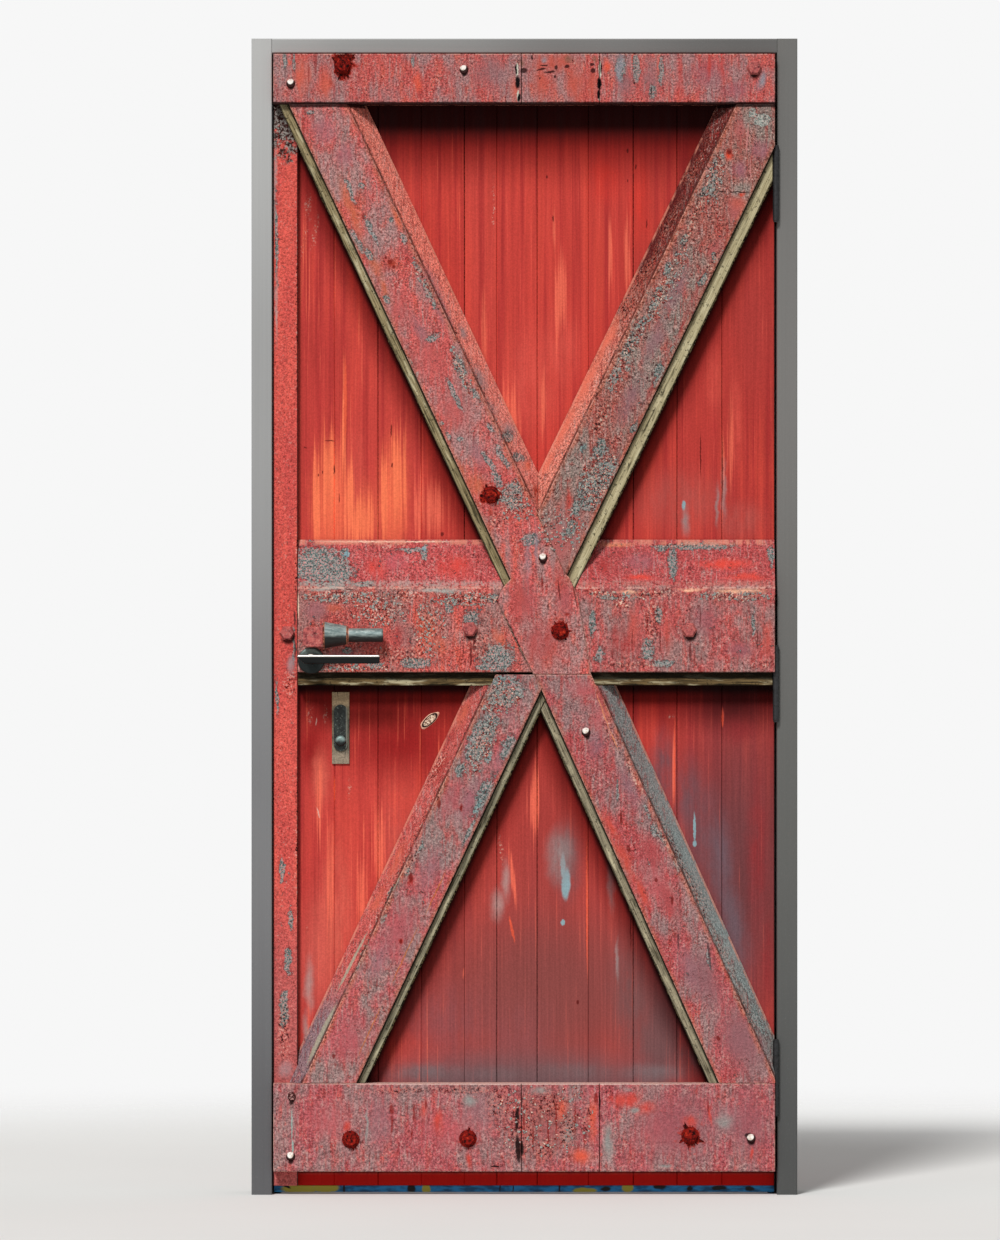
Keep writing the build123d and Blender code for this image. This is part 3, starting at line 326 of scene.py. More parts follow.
# Planks: red paint over upright grain. A layer is its kind, colour, strength and marks, and a mark
# is its pixel, half width, half height and lean, if it leans.
plankLook = {
    # one for each board, from the left
    "tones": ["#bd3f39", "#c0423a", "#bf423a", "#bb3d35", "#c2443b", "#bf4038",
              "#c24138", "#bb3d36", "#b43b34", "#b23a34", "#ad3832"],
    "deep": "#99282a",
    "bright": "#d24a3c",
    "layers": [
        ("zone", "#a13b36", 1.0, [(545, 830, 80, 130)]),
        ("zone", "#8a403d", 1.0, [(540, 985, 210, 180)]),
        ("zone", "#735255", 1.0, [(520, 1090, 220, 52)]),
        ("zone", "#6d3a3c", 1.0, [(738, 870, 100, 270)]),
        ("zone", "#b85048", 0.9, [(400, 830, 30, 100)]),
        ("zone", "#c2564c", 0.8, [(318, 960, 30, 90)]),
        ("zone", "#a83a35", 0.9, [(755, 320, 40, 120)]),
        ("zone", "#e8684a", 1.0, [(331, 505, 30, 84), (393, 500, 22, 84)]),
        ("zone", "#d65a44", 0.9, [(362, 510, 24, 50)]),
        ("zone", "#664648", 1.0, [(662, 1030, 34, 100)]),
        # painted shadow under the middle rail, at the top of the lower right boards
        ("zone", "#5f2224", 0.9, [(735, 700, 60, 50)]),
        # painted shade on the upper left boards beside the lath
        ("wash", "#ad3733", 0.7, [(320, 350, 40, 60), (400, 330, 40, 60), (330, 240, 20, 60)]),
        ("wash", "#cd5045", 0.8, [(530, 380, 50, 80), (560, 350, 30, 60), (355, 470, 14, 70)]),
        ("wash", "#d0372b", 0.6, [(605, 175, 26, 44), (640, 200, 16, 70)]),
        # painted shade: dark red high on the upper boards and beside the upper right lath
        ("wash", "#892624", 0.7, [(690, 190, 18, 60), (762, 230, 14, 50)]),
        ("wash", "#cc5044", 0.7, [(736, 420, 10, 70), (715, 380, 12, 50)]),
        ("wash", "#ab4f48", 0.8, [(680, 500, 70, 46), (740, 520, 40, 30)]),
        ("wash", "#c8473c", 0.8, [(400, 800, 40, 90), (345, 830, 30, 70), (375, 900, 24, 60)]),
        # painted shadow under the middle rail, at the top of the lower left boards
        ("zone", "#8c1c1c", 0.95, [(312, 745, 24, 54), (400, 738, 90, 64)]),
        ("wash", "#cb5c4d", 0.9, [(335, 920, 30, 110), (320, 780, 14, 50), (345, 1000, 20, 60)]),
        ("wash", "#a8302b", 0.7, [(440, 720, 50, 26), (380, 720, 50, 26), (320, 720, 24, 40)]),
        ("wash", "#8e494b", 0.9, [(450, 1020, 80, 54), (520, 1030, 60, 50)]),
        ("wash", "#6f4c4d", 1.0, [
            (632, 1000, 34, 90, -6), (655, 1040, 44, 50), (612, 860, 8, 40), (567, 860, 22, 56),
            (690, 1060, 30, 30)]),
        ("wash", "#72494e", 1.0, [(705, 830, 34, 80, -12), (664, 770, 20, 60), (690, 800, 24, 60)]),
        ("wash", "#6a5259", 1.0, [(733, 920, 18, 80, -14), (722, 860, 16, 60)]),
        ("wash", "#8c2f31", 0.8, [(758, 850, 16, 120), (768, 960, 8, 60), (740, 730, 30, 20)]),
        ("wash", "#7c6c6e", 0.95, [
            (430, 1074, 60, 14), (500, 1076, 60, 12), (570, 1074, 60, 14), (650, 1074, 50, 14)]),
        ("wash", "#a98782", 0.8, [
            (309, 985, 7, 40), (305, 1030, 5, 30), (470, 840, 6, 30), (498, 905, 10, 24), (506, 880, 8, 30)]),
        ("flames", "#ee7450", 1.0, [
            (328, 470, 18, 90), (344, 430, 5, 110), (316, 500, 9, 80), (396, 480, 13, 90), (384, 500, 8, 80),
            (404, 470, 4, 90), (360, 520, 30, 50), (350, 500, 10, 60)]),
        ("flames", "#e26650", 0.9, [
            (430, 510, 30, 60), (610, 250, 4, 70), (627, 260, 6, 76), (484, 330, 5, 80), (512, 420, 14, 60),
            (554, 230, 2.5, 50), (731, 440, 5, 90), (724, 470, 5, 60), (543, 400, 6, 60), (318, 800, 6, 80),
            (330, 880, 8, 110), (362, 900, 12, 80), (380, 850, 9, 70), (588, 920, 2.4, 100), (674, 770, 2.6, 80),
            (723, 716, 2.4, 14), (513, 880, 4, 50, -6), (463, 975, 2, 14, 5), (535, 800, 10, 60),
            (560, 300, 12, 70)]),
        ("zone", "#6b5356", 0.75, [(520, 1088, 230, 56)]),
        ("zone", "#7c4541", 0.5, [(560, 1000, 190, 110)]),
        ("drawn", "#d8553c", 0.9, [
            (587, 900, 0.9, 80), (675, 760, 0.8, 55), (345, 400, 2, 50), (723, 720, 1.4, 9), (512, 930, 1.6, 16, -12),
            (334, 790, 1.2, 16)]),
        ("drawn", "#86a3a9", 0.95, [
            (566, 884, 5.5, 20, 2), (563, 866, 3, 16), (563, 923, 2.6, 4), (695, 828, 1.8, 18), (695, 844, 2.6, 4),
            (684, 505, 2.4, 6)]),
        ("wash", "#94807e", 0.8, [
            (686, 520, 6, 22), (724, 490, 5, 40), (717, 505, 3, 30), (560, 856, 20, 40), (612, 880, 6, 44),
            (641, 880, 5, 26), (617, 960, 3, 30)]),
        ("crumbs", ("#d5b8a8", "#a8403a"), 0.7, [
            (309, 712, 5, 18), (326, 712, 3, 16), (348, 790, 1.6, 14), (308, 205, 5, 22, 6), (314, 230, 4, 26, 8),
            (304, 240, 3, 22, 6), (307, 930, 2, 6), (494, 207, 1.6, 40), (672, 717, 6, 3), (501, 850, 3, 20, -8),
            (618, 730, 2, 40)]),
        ("drawn", "#dcbcae", 0.6, [(318, 813, 7, 0.8, 76), (316, 722, 5, 0.6, -82)]),
        ("drawn", "#5b1614", 0.85, [
            (329, 440.5, 6.6, 0.8), (305, 447, 2.4, 0.8, 25), (553, 218, 1.0, 4), (547, 176, 1.2, 2),
            (647, 223, 0.8, 6), (628, 150, 1.2, 3), (636, 166, 0.8, 3), (628, 180, 0.8, 2), (391, 430, 1, 8),
            (392, 465, 1, 3), (334, 470, 0.8, 7), (322, 472, 0.8, 2), (339, 498, 0.7, 6), (318, 475, 0.8, 2),
            (442, 534, 2, 3), (701, 455, 0.8, 26), (723, 470, 0.7, 40), (565, 700, 0.6, 20), (578, 1003, 1.6, 2.6),
            (631, 930, 0.9, 24)]),
    ],
    # how dark each joint between two boards is, above the middle rail and below it
    "joints": [(0.5, 0.5), (0.0, 0.0), (0.6, 0.5), (0.0, 0.0), (0.85, 0.1), (0.1, 0.7), (0.5, 0.65), (0.15, 0.2),
               (0.85, 0.75), (0.6, 0.5), (0.5, 0.4), (0.5, 0.5)],
    "jointsChange": (0.98, 1.02),
    "joint": "#180404",
    # painted shade under the top rail, under the middle rail and beside the laths, each from here to there
    "shades": [("#8c4b50", "MULTIPLY", (0.165, 0.05), (0.1, 0.02), 0.055),
               ("#0a0101", "MIX", (0.085, 0.03), (0.022, 0.006), 0.012)],
    "underBottomRail": "#a80d09",
    "backFaded": "#96504a",
    "backFoot": "#6e4440",
    "backChipped": "#7f6a60",
    # the shade under the middle rail and the one under the bottom rail stay below these heights
    "middleEnds": (1.1, 1.0),
    "bottomEnds": (0.1, 0.08),
}


def lathShade(f, node, reach):
    # how near a place is to the outer edge of a lath, for the painted shade beside it: one at the edge, nothing
    # beyond reach
    low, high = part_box(node)
    up = f.axis("Z")
    total = 0.0
    for x, z, lean, half, lath, side, bottom, top in braces.values():
        offset = side * (half + lath) / math.cos(math.radians(lean))
        ends = [x + math.tan(math.radians(lean)) * (level - z) + offset for level in (bottom, top)]
        if min(ends) - reach > high.x or max(ends) + reach < low.x:
            continue
        across = f.axis("X", f.within((1, 1, 1), (x, 0, z), lean))
        distance = f.calc("SUBTRACT", f.times(across, float(side)), half + lath)
        level = f.times(f.step(up, bottom - 0.02, bottom), f.step(up, top + 0.02, top))
        shade = f.times(f.step(distance, reach, 0.0), f.step(distance, -0.02, -0.01), level)
        total = f.largest(total, shade)
    return total


def plankPaint(node, number, base):
    f = Finish("plank_paint_%02d" % number, 0.62, shine=0.06, seed=number * 3.7)
    f.weather()
    low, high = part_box(node)
    across, depth, up = f.axis("X"), f.axis("Y"), f.axis("Z")
    bands = f.grain((0.012, 0.05, 0.8), 3.0, seed=7.0)
    clouds = f.grain((0.07, 0.1, 0.25), 3.0, seed=8.0)
    paint = f.over(base, plankLook["deep"], bands, 0.5, 0.34, 0.55)
    paint = f.over(paint, plankLook["bright"], f.plus(f.times(bands, 0.5), clouds, 0.5), 0.5, 0.66, 0.6)
    # the back has no history but dirt: dark joints, a scuffed foot and faded clouds
    seam = f.largest(f.step(across, low.x + 0.0016, low.x + 0.0005), f.step(across, high.x - 0.0016, high.x - 0.0005))
    back = f.shaded(paint, f.step(f.fibres, 0.3, 0.7, 0.85, 1.12))
    back = f.over(back, plankLook["backFaded"], clouds, 0.52, 0.7, 0.5)
    back = f.over(back, plankLook["backFoot"], f.plus(up, f.tides, 0.3), 0.42, 0.16, 0.6)
    back = f.over(back, plankLook["backChipped"], f.broken, 0.64, 0.7, 0.7)
    back = f.laid(back, plankLook["joint"], seam, 0.85)
    for kind, colour, strength, marks in plankLook["layers"]:
        paint = f.lay(paint, kind, colour, strength, near(marks, node))
    # fine upright lines and a little sand
    paint = f.shaded(paint, f.step(f.fibres, 0.3, 0.7, 0.9, 1.08))
    paint = f.shaded(paint, f.step(f.sand, 0.3, 0.7, 0.9, 1.1))
    # painted shade: deep red, then black, where the boards go behind the laths and under the rails
    for tint, kind, (topFar, topNear), (midFar, midNear), reach in plankLook["shades"]:
        under = f.step(up, midLathUnder - midFar, midLathUnder - midNear)
        under = f.times(under, f.step(up, *plankLook["middleEnds"]))
        shade = f.largest(f.step(up, topRailUnder - topFar, topRailUnder - topNear), under)
        shade = f.largest(shade, lathShade(f, node, reach))
        if kind == "MIX":
            foot = f.step(up, bottomRailUnder - 0.01, bottomRailUnder - 0.002)
            shade = f.largest(shade, f.times(foot, f.step(up, *plankLook["bottomEnds"])))
        paint = f.blend(f.times(shade, 0.9), paint, tint, kind)
    paint = f.over(paint, plankLook["underBottomRail"], up, bottomRailUnder - 0.004, bottomRailUnder - 0.01, 0.9)
    # the grooves between the boards are painted lighter, painted light against their own shade, and hold dirt where a
    # joint shows
    lowDark, highDark = [[plankLook["joints"][number + side][level] for side in (-1, 0)] for level in (1, 0)]
    leftDark, rightDark = [f.step(up, *plankLook["jointsChange"], *pair) for pair in zip(lowDark, highDark)]
    middle = (low.x + high.x) / 2
    dark = f.step(across, middle - 0.001, middle + 0.001, leftDark, rightDark)
    groove = f.step(depth, plankY + 0.0002, plankY + 0.0007)
    # painted light: each groove made 1.7 times lighter, so its own shade hardly shows
    paint = f.laid(paint, f.shaded(paint, 1.7), groove, 0.9)
    paint = f.laid(paint, plankLook["joint"], groove, dark, f.step(f.crumb, 0.56, 0.46, 0.45, 1.0))
    f.colour(f.over(paint, back, depth, plankY + 0.009, plankY + 0.012))
    f.roughness(f.step(bands, 0.3, 0.7, 0.56, 0.74))
    f.bump(f.plus(f.fibres, f.sand, 0.4), 0.0006, 0.5)
    f.wear(node)


# Rails and braces: faded red over grey primer, finely flecked, with worn edges
primer = ("#4c5452", "#98a39f")
primerPale = ("#6f7772", "#b8bcb2")
rust = ("#2a0606", "#8f1b11")
grit = ("#dcb6a4", "#3b1514")

# What all of them share: colours, depths behind the face (of the foot and the joint, in front of the
# boards), and heights of the painted shadow line from the top rail's under side
worn = {
    "drips": "#8f2c2c", "bloom": "#a08884", "vivid": "#c4473b", "dots": "#d8ada2", "pits": "#421214",
    "sides": "#cc6c52", "sideGrit": "#35201e", "halo": "#a83226", "freshRust": "#c43a22", "shadow": "#120606",
    "corner": "#cf9f90", "line": "#140404", "foot": "#d98a74", "joint": "#250a0a", "ridge": ("#2c1212", 0.8),
    "bevelDepth": (0.0022, 0.004),
    "cornerDepth": (0.0001, 0.0005, 0.0024, 0.0016),
    "ridgeDepth": (0.0018, 0.003, 0.0085, 0.005),
    "footDepth": (0.0085, 0.006),
    "jointDepth": (0.0028, 0.001),
    "lineOnRail": (0.0068, 0.0048),
    "lineOnBrace": (-0.0055, -0.0025),
}

# Each piece: its main, warm and cool tone, its bevel's colour high and low, how flecked it is, its layers,
# and where it has them the brace it is, its rust, the shadow beside its bolts and its own ridge
members = {
    "top_rail": {
        "tones": ("#b85550", "#c55a4b", "#99706f"), "bevel": ("#b06058", "#b06058"), "flecks": 1.0,
        "layers": [
            ("wash", "#c95e4c", 0.9, [(303, 76, 13, 30), (325, 84, 12, 24), (514, 90, 7, 18)]),
            ("wash", "#bd5648", 1.0, [(543, 84, 20, 26), (575, 86, 18, 26), (592, 84, 10, 24), (555, 64, 40, 16)]),
            ("wash", "#8f6466", 0.9, [(490, 74, 24, 26), (625, 84, 16, 24), (650, 80, 14, 26)]),
            ("wash", "#9a5660", 0.7, [(710, 74, 30, 22), (735, 90, 20, 14)]),
            ("drawn", "#8a2f2c", 0.7, [(316, 64, 1.8, 16), (309, 74, 0.8, 12)]),
            ("wash", "#dc5a44", 1.0, [(417, 83, 6, 14), (606, 66, 6, 12), (288, 63, 4, 6)]),
            ("wash", "#b8423c", 0.9, [(680, 78, 5, 34), (709, 66, 3, 20), (722, 70, 5, 16)]),
            ("peel", primer, 0.9, [
                (284, 62, 3, 14), (294, 62, 3, 14), (413, 62, 3, 7), (636, 68, 6, 26), (661, 72, 4, 26),
                (652, 92, 5, 12), (621, 70, 8, 22)]),
            ("wash", "#8b8890", 1.0, [(761, 82, 6, 16, 12), (544, 60, 5, 5), (620, 70, 5, 26)]),
            ("drawn", "#c9c7b6", 0.95, [(517, 70, 1.6, 9), (518, 96, 1.5, 7), (600, 70, 1.8, 11), (599, 98, 1.2, 5)]),
            ("drawn", "#080405", 1.0, [
                (517.5, 83, 3, 8), (519, 98, 2, 5, 8), (516, 70, 1.2, 7), (599, 84, 2.8, 8), (598.5, 95, 2, 6),
                (601, 68, 1, 8)]),
            ("drawn", "#2a0f10", 0.9, [
                (524, 71, 4.5, 3.4), (541, 70, 6, 1.4, -14), (550, 72.5, 7, 1.3, -6), (556, 68, 2.4, 3),
                (532, 58, 1.2, 3), (544, 66, 5, 1.2), (567, 67, 3, 2.4), (593, 71, 3.4, 3), (592, 65, 3, 2),
                (634, 84, 0.9, 2.4), (651, 92, 0.8, 8), (555, 77, 1.4, 2), (540, 79, 0.8, 1.4)]),
            ("wash", "#84594a", 0.9, [(568, 60, 7, 7), (523, 64, 5, 6), (594, 60, 4, 5)]),
            ("crumbs", grit, 0.8, [(574, 62, 3, 6), (519, 62, 3, 8), (568, 76, 2, 8), (600, 60, 3, 5)]),
        ],
        "rust": [(343.5, 60, 10, 16), (343.5, 69, 8, 11), (336, 72, 2, 2)],
        "shadow": [(464, 74, 3.6, 3.6), (291, 87, 3.4, 4.4), (754, 73, 6.5, 8)],
    },
    "bottom_rail": {
        "tones": ("#a15357", "#ad4f4b", "#8f6c6b"), "bevel": ("#c08a7e", "#b86a62"), "flecks": 0.9,
        "layers": [
            ("wash", "#b4565a", 0.8, [(330, 1120, 40, 30), (450, 1130, 50, 30), (660, 1130, 40, 30)]),
            ("wash", "#94656a", 0.8, [(380, 1120, 20, 40), (480, 1110, 30, 30), (730, 1120, 24, 22)]),
            ("wash", "#8d5552", 0.9, [(545, 1120, 46, 50)]),
            ("zone", "#8f5258", 0.75, [(680, 1125, 60, 60), (750, 1125, 30, 60)]),
            ("wash", "#cf5640", 1.0, [(581, 1156, 19, 12), (593, 1120, 7, 34), (562, 1108, 8, 16)]),
            ("wash", "#c1463c", 1.0, [
                (626, 1100, 22, 13), (645, 1108, 16, 10), (439, 1122, 8, 20), (468, 1160, 5, 10), (348, 1127, 6, 9),
                (690, 1122, 12, 12), (711, 1114, 2.4, 16), (751, 1152, 3, 8), (424, 1108, 5, 16)]),
            ("wash", "#8c8a86", 1.0, [
                (567, 1135, 8, 16), (609, 1141, 8, 28), (724, 1121, 13, 11), (469, 1100, 11, 9), (368, 1125, 2.4, 30),
                (629, 1089, 6, 4), (634, 1110, 7, 4), (665, 1166, 9, 3), (540, 1090, 16, 6)]),
            ("crumbs", ("#b07a70", "#3d0f0d"), 1.0, [
                (500, 1104, 22, 26), (522, 1125, 24, 44), (548, 1104, 26, 22), (566, 1130, 14, 30),
                (470, 1090, 70, 5), (400, 1090, 40, 4), (588, 1120, 8, 26), (545, 1150, 16, 16)]),
            ("drawn", "#7d1a14", 0.8, [
                (392, 1109, 2.6, 6), (414, 1112, 1.4, 12), (412, 1132, 1, 10), (426, 1104, 1.2, 6),
                (596, 1098, 2.6, 7), (392, 1124, 1.2, 12), (548, 1134, 1, 20), (556, 1118, 1, 24), (533, 1140, 1, 18),
                (575, 1120, 1.2, 20), (584, 1134, 1, 14), (524, 1120, 1, 20), (708, 1106, 1, 8)]),
            ("drawn", "#160808", 0.95, [
                (517, 1118, 2.4, 18, 2), (518, 1148, 3.4, 18, -4), (522, 1148, 2.2, 9), (495, 1166, 6, 1.2),
                (599.5, 1100, 1, 12)]),
            ("drawn", "#8fa39c", 0.9, [(292, 1124, 0.9, 20), (293, 1146, 1.4, 8)]),
            ("drawn", "#c7a79e", 0.8, [(524, 1083.6, 250, 1.0)]),
        ],
        "rust": [(351, 1139, 5.5, 8.5), (468, 1138, 5.5, 7.5), (690, 1136, 8, 9.5)],
        "shadow": [(291, 1160, 3.4, 5), (751, 1141, 5, 5), (292, 1100, 3.6, 6), (748, 1135, 4.6, 3.6)],
    },
    "upper_left_facing": {
        # the bevel's colours are painted light: bright, as if the bevel caught the lamp
        "tones": ("#bd5854", "#c95c4d", "#a17673"), "bevel": ("#ea8270", "#da8274"), "flecks": 1.0,
        "brace": "upper_left",
        "layers": [
            ("wash", "#a5646b", 0.9, [(325, 130, 20, 24), (345, 155, 14, 20)]),
            ("wash", "#93807e", 0.8, [
                (508, 560, 5, 40), (553, 560, 3, 40), (524, 600, 4, 46), (590, 640, 6, 40, -10)]),
            ("wash", "#bb5a58", 0.8, [(430, 360, 26, 40, -25), (455, 410, 26, 40, -25), (400, 310, 22, 30, -25)]),
            ("wash", "#9c6b70", 0.8, [(420, 330, 10, 24, -25), (478, 455, 12, 26, -25), (405, 372, 10, 14)]),
            ("wash", "#c8664a", 0.9, [
                (352, 210, 9, 50, -20), (372, 262, 8, 30, -28), (385, 290, 5, 24, -28), (455, 470, 14, 24, -25),
                (475, 485, 16, 16)]),
            ("wash", "#a96c70", 1.0, [(430, 285, 12, 44, -25), (442, 310, 10, 30, -25)]),
            ("wash", "#98807e", 0.9, [
                (463, 332, 6, 12, -25), (480, 378, 8, 22, -25), (492, 408, 6, 14, -25), (508, 430, 10, 14)]),
            ("wash", "#d8694e", 0.9, [(527, 466, 7, 9), (509, 442, 4, 6), (396, 216, 6, 22, -25)]),
            ("wash", "#a5575a", 0.9, [(540, 640, 22, 26), (525, 600, 20, 30), (565, 600, 14, 30)]),
            ("wash", "#b04640", 0.7, [(545, 645, 34, 44), (560, 575, 14, 34), (520, 600, 16, 40)]),
            ("peel", primer, 0.95, [
                (350, 190, 3.5, 22, -20), (362, 186, 4.5, 6), (356, 240, 5, 24, -30), (369, 256, 7, 14, -25),
                (388, 299, 5, 9, -20), (391, 221, 4, 5), (404, 240, 5, 11, -25), (418, 268, 6, 10, -25),
                (428, 290, 6, 22, -27), (460, 366, 8, 22, -25), (476, 394, 5, 12, -27), (490, 428, 5, 12, -27),
                (503, 458, 6, 22, -28), (516, 486, 7, 12, -28), (410, 361, 3, 8, -25), (416, 374, 3, 5),
                (441, 423, 4, 4), (448, 437, 4, 7, -25), (434, 306, 4, 8), (478, 520, 6, 14, -20),
                (488, 540, 5, 20, -25), (512, 497, 20, 24), (508, 436, 9, 10), (519, 457, 9, 9),
                (497, 480, 7, 16, -27), (489, 462, 5, 22, -27), (455, 396, 5, 30, -27), (372, 232, 4, 26, -25),
                (310, 113, 6, 4), (498, 486, 4, 4), (555, 520, 20, 16), (545, 500, 8, 12), (530, 540, 14, 10),
                (432, 338, 10, 6, -25), (460, 440, 6, 4)]),
            ("wash", "#8b7a80", 0.8, [(528, 560, 4, 36), (536, 545, 3, 30), (586, 620, 5, 34, -12)]),
            ("crumbs", grit, 0.9, [
                (520, 500, 26, 24), (560, 525, 24, 22), (534, 494, 9, 14), (505, 440, 10, 16, -25),
                (425, 283, 5, 30, -25), (462, 372, 5, 30, -25), (500, 520, 14, 14), (575, 560, 14, 30, 20)]),
            ("wash", "#a33b2c", 1.0, [
                (535, 492, 5, 12), (491, 511, 3, 7), (510, 520, 3, 6, 30), (391, 264, 7, 7), (538, 500, 4, 8)]),
            ("drawn", "#1a0a0b", 0.95, [(514.5, 637, 1.3, 40, -25.6)]),
            ("crumbs", ("#98a19c", "#241012"), 1.0, [(442.5, 306, 3.6, 215, -25.5)]),
            ("drawn", "#7a1f1a", 0.8, [
                (390, 262, 3, 3), (394, 267, 2, 2), (386, 258, 2, 2), (542, 582, 1.2, 6), (567, 614, 3, 2)]),
            ("drawn", "#4a1a18", 0.75, [
                (559, 590, 1, 14, -6), (574, 590, 1, 24, -10), (548, 606, 1, 3), (595, 560, 1, 20, -10)]),
        ],
        "rust": [(492, 493, 8, 6.5), (483, 498, 3.5, 5), (561, 630, 8, 8.5), (487, 490, 3, 2)],
        "shadow": [(543, 562, 4, 4.4)],
    },
    "upper_right_facing": {
        "tones": ("#94584f", "#a85248", "#83736b"), "bevel": ("#561a17", "#cc7a68"), "flecks": 1.4,
        "brace": "upper_right",
        "layers": [
            ("zone", "#ab5e5b", 0.95, [(558, 545, 30, 66, 24)]),
            ("wash", "#93807e", 0.8, [(563, 520, 4, 34), (575, 540, 3, 30, 10)]),
            ("wash", "#b33a30", 0.8, [(568, 500, 4, 16), (578, 530, 3, 20)]),
            ("wash", "#ad5c5a", 0.9, [(739, 130, 9, 20), (735, 210, 14, 20), (715, 250, 10, 20, 25)]),
            ("wash", "#97606a", 0.9, [(760, 150, 12, 17), (740, 170, 12, 14)]),
            ("wash", "#b85a4e", 0.9, [(738, 203, 14, 12), (744, 218, 8, 20, 25), (728, 246, 5, 20, 25)]),
            ("wash", "#8c6468", 0.9, [(676, 290, 12, 40, 25), (655, 340, 12, 40, 25), (630, 400, 14, 40, 25)]),
            ("wash", "#9c3836", 0.8, [(697, 290, 4, 40, 25), (680, 330, 3, 40, 20), (655, 380, 4, 50, 25)]),
            ("peel", primerPale, 1.0, [(762, 120, 16, 12), (752, 114, 8, 8)]),
            ("peel", ("#39423f", "#8fa09b"), 1.0, [
                (713, 178, 6, 32, 5), (706, 190, 5, 16, 25), (683, 241, 6, 12, 20), (667, 270, 6, 12, 25),
                (655, 302, 7, 22, 25), (640, 324, 6, 15, 25), (627, 348, 9, 20, 25), (614, 376, 8, 16, 25),
                (714, 258, 3, 10, 10), (703, 281, 5, 13, 25), (673, 351, 4, 9, 25), (659, 378, 5, 20, 25),
                (632, 340, 7, 12, 25), (658, 370, 6, 14, 25), (634, 428, 5, 10, 25), (606, 474, 24, 28, 25),
                (590, 494, 22, 30, 25), (600, 450, 12, 18, 25), (576, 508, 7, 14), (584, 447, 5, 10, 25),
                (570, 530, 10, 16, 20)]),
            ("peel", ("#4f6160", "#879b98"), 1.0, [(588, 484, 12, 16, 25), (606, 466, 10, 10), (583, 448, 4, 9, 25)]),
            ("crumbs", ("#cdb9a6", "#2a1212"), 1.0, [
                (715, 175, 9, 34, 8), (700, 205, 6, 34, 25), (658, 298, 8, 36, 25), (625, 352, 10, 40, 25),
                (690, 230, 6, 24, 25), (600, 480, 22, 30, 20), (712, 265, 5, 30, 25), (600, 420, 8, 30, 25)]),
            ("crumbs", ("#8c6a5c", "#200807"), 1.0, [
                (690, 170, 12, 34, 26), (668, 218, 12, 40, 26), (648, 262, 12, 40, 26), (628, 304, 10, 30, 26),
                (700, 140, 12, 24, 26)]),
            ("crumbs", ("#e59a80", "#5a1f1a"), 0.8, [
                (594, 364, 5, 50, 26), (570, 412, 5, 40, 26), (612, 330, 6, 24, 26)]),
            ("wash", "#cf432c", 1.0, [(728, 156, 6, 9), (742, 194, 6, 4)]),
            ("zone", "#d8705a", 0.9, [
                (607, 340, 8, 36, 26), (587, 382, 9, 44, 26), (564, 428, 8, 40, 26), (548, 462, 6, 22, 26)]),
            ("crumbs", ("#a8a092", "#1e0e0e"), 1.0, [(640.7, 306, 3.6, 215, 25.6)]),
            ("zone", "#501718", 0.85, [(697, 150, 9, 44, 26), (674, 200, 9, 46, 26), (652, 246, 8, 40, 26)]),
            ("wash", "#a33b2c", 1.0, [(536, 492, 5, 12)]),
            ("drawn", "#1c0a0a", 0.9, [(722, 192, 6, 1.0, 8), (740, 192.5, 14, 0.7)]),
            ("drawn", "#c98480", 0.7, [(747, 140, 1.2, 18, 4), (750, 170, 0.9, 14)]),
            ("drawn", "#5f1614", 0.8, [(729, 152, 3, 4), (720, 144, 1, 3)]),
            ("drawn", "#2c3238", 0.8, [(676, 254, 2, 4), (714, 166, 2, 8, 5)]),
        ],
    },
    "lower_left_facing": {
        "tones": ("#ab5659", "#b3544f", "#8c7471"), "bevel": ("#7a676d", "#b95650"), "flecks": 0.9,
        "brace": "lower_left",
        "layers": [
            ("wash", "#9c6068", 0.9, [(506, 706, 14, 20), (470, 800, 14, 40, 25)]),
            ("wash", "#a9555a", 0.9, [(452, 800, 14, 36, 25), (400, 930, 26, 50, 25), (350, 1040, 26, 40, 20)]),
            ("wash", "#96666c", 0.8, [(430, 870, 18, 40, 25), (380, 960, 12, 30, 25), (500, 760, 10, 30, 25)]),
            ("wash", "#a33a36", 0.9, [(441, 770, 8, 26, 25), (448, 740, 6, 18, 25)]),
            ("wash", "#c8604c", 0.9, [(398, 860, 7, 34, 25), (378, 900, 7, 24, 25), (462, 715, 8, 24, 25)]),
            ("peel", primer, 1.0, [
                (505, 692, 32, 26), (480, 738, 20, 44, 25), (509, 748, 13, 20, 10), (484, 795, 10, 34, 25),
                (441, 792, 3, 12, 25), (420, 848, 4, 13, 25), (408, 869, 5, 10, 25), (391, 894, 4, 18, 25),
                (383, 919, 4, 10, 25), (470, 832, 4, 26, 25), (493, 720, 16, 12), (460, 768, 7, 14, 25),
                (360, 962, 3, 34, 25)]),
            ("peel", ("#567070", "#8ba09e"), 1.0, [(500, 682, 12, 8), (488, 755, 8, 12), (478, 806, 5, 14, 25)]),
            ("drawn", "#a29c88", 0.85, [
                (352, 962, 1.6, 40, 27), (322, 1034, 3.4, 40, 26), (442, 786, 1.2, 12, 25), (398, 880, 1, 20, 26)]),
            ("crumbs", grit, 0.9, [
                (440, 790, 4, 20, 25), (436, 768, 8, 30, 25), (412, 860, 6, 26, 25), (386, 905, 6, 26, 25),
                (500, 700, 22, 24), (482, 740, 12, 30, 25)]),
            ("wash", "#a8281f", 1.0, [(410, 879, 5, 10), (401, 941, 3.4, 5), (461, 807, 3, 5)]),
            ("drawn", "#6d1c18", 0.85, [
                (411, 877, 2.2, 6), (401, 941, 1.6, 3), (439, 804, 2.4, 6), (461, 808, 1.6, 4), (484, 712, 1.4, 3),
                (334, 1056, 2, 3)]),
            ("crumbs", ("#b2a698", "#261414"), 1.0, [(394.5, 883, 3.0, 214, 24.2)]),
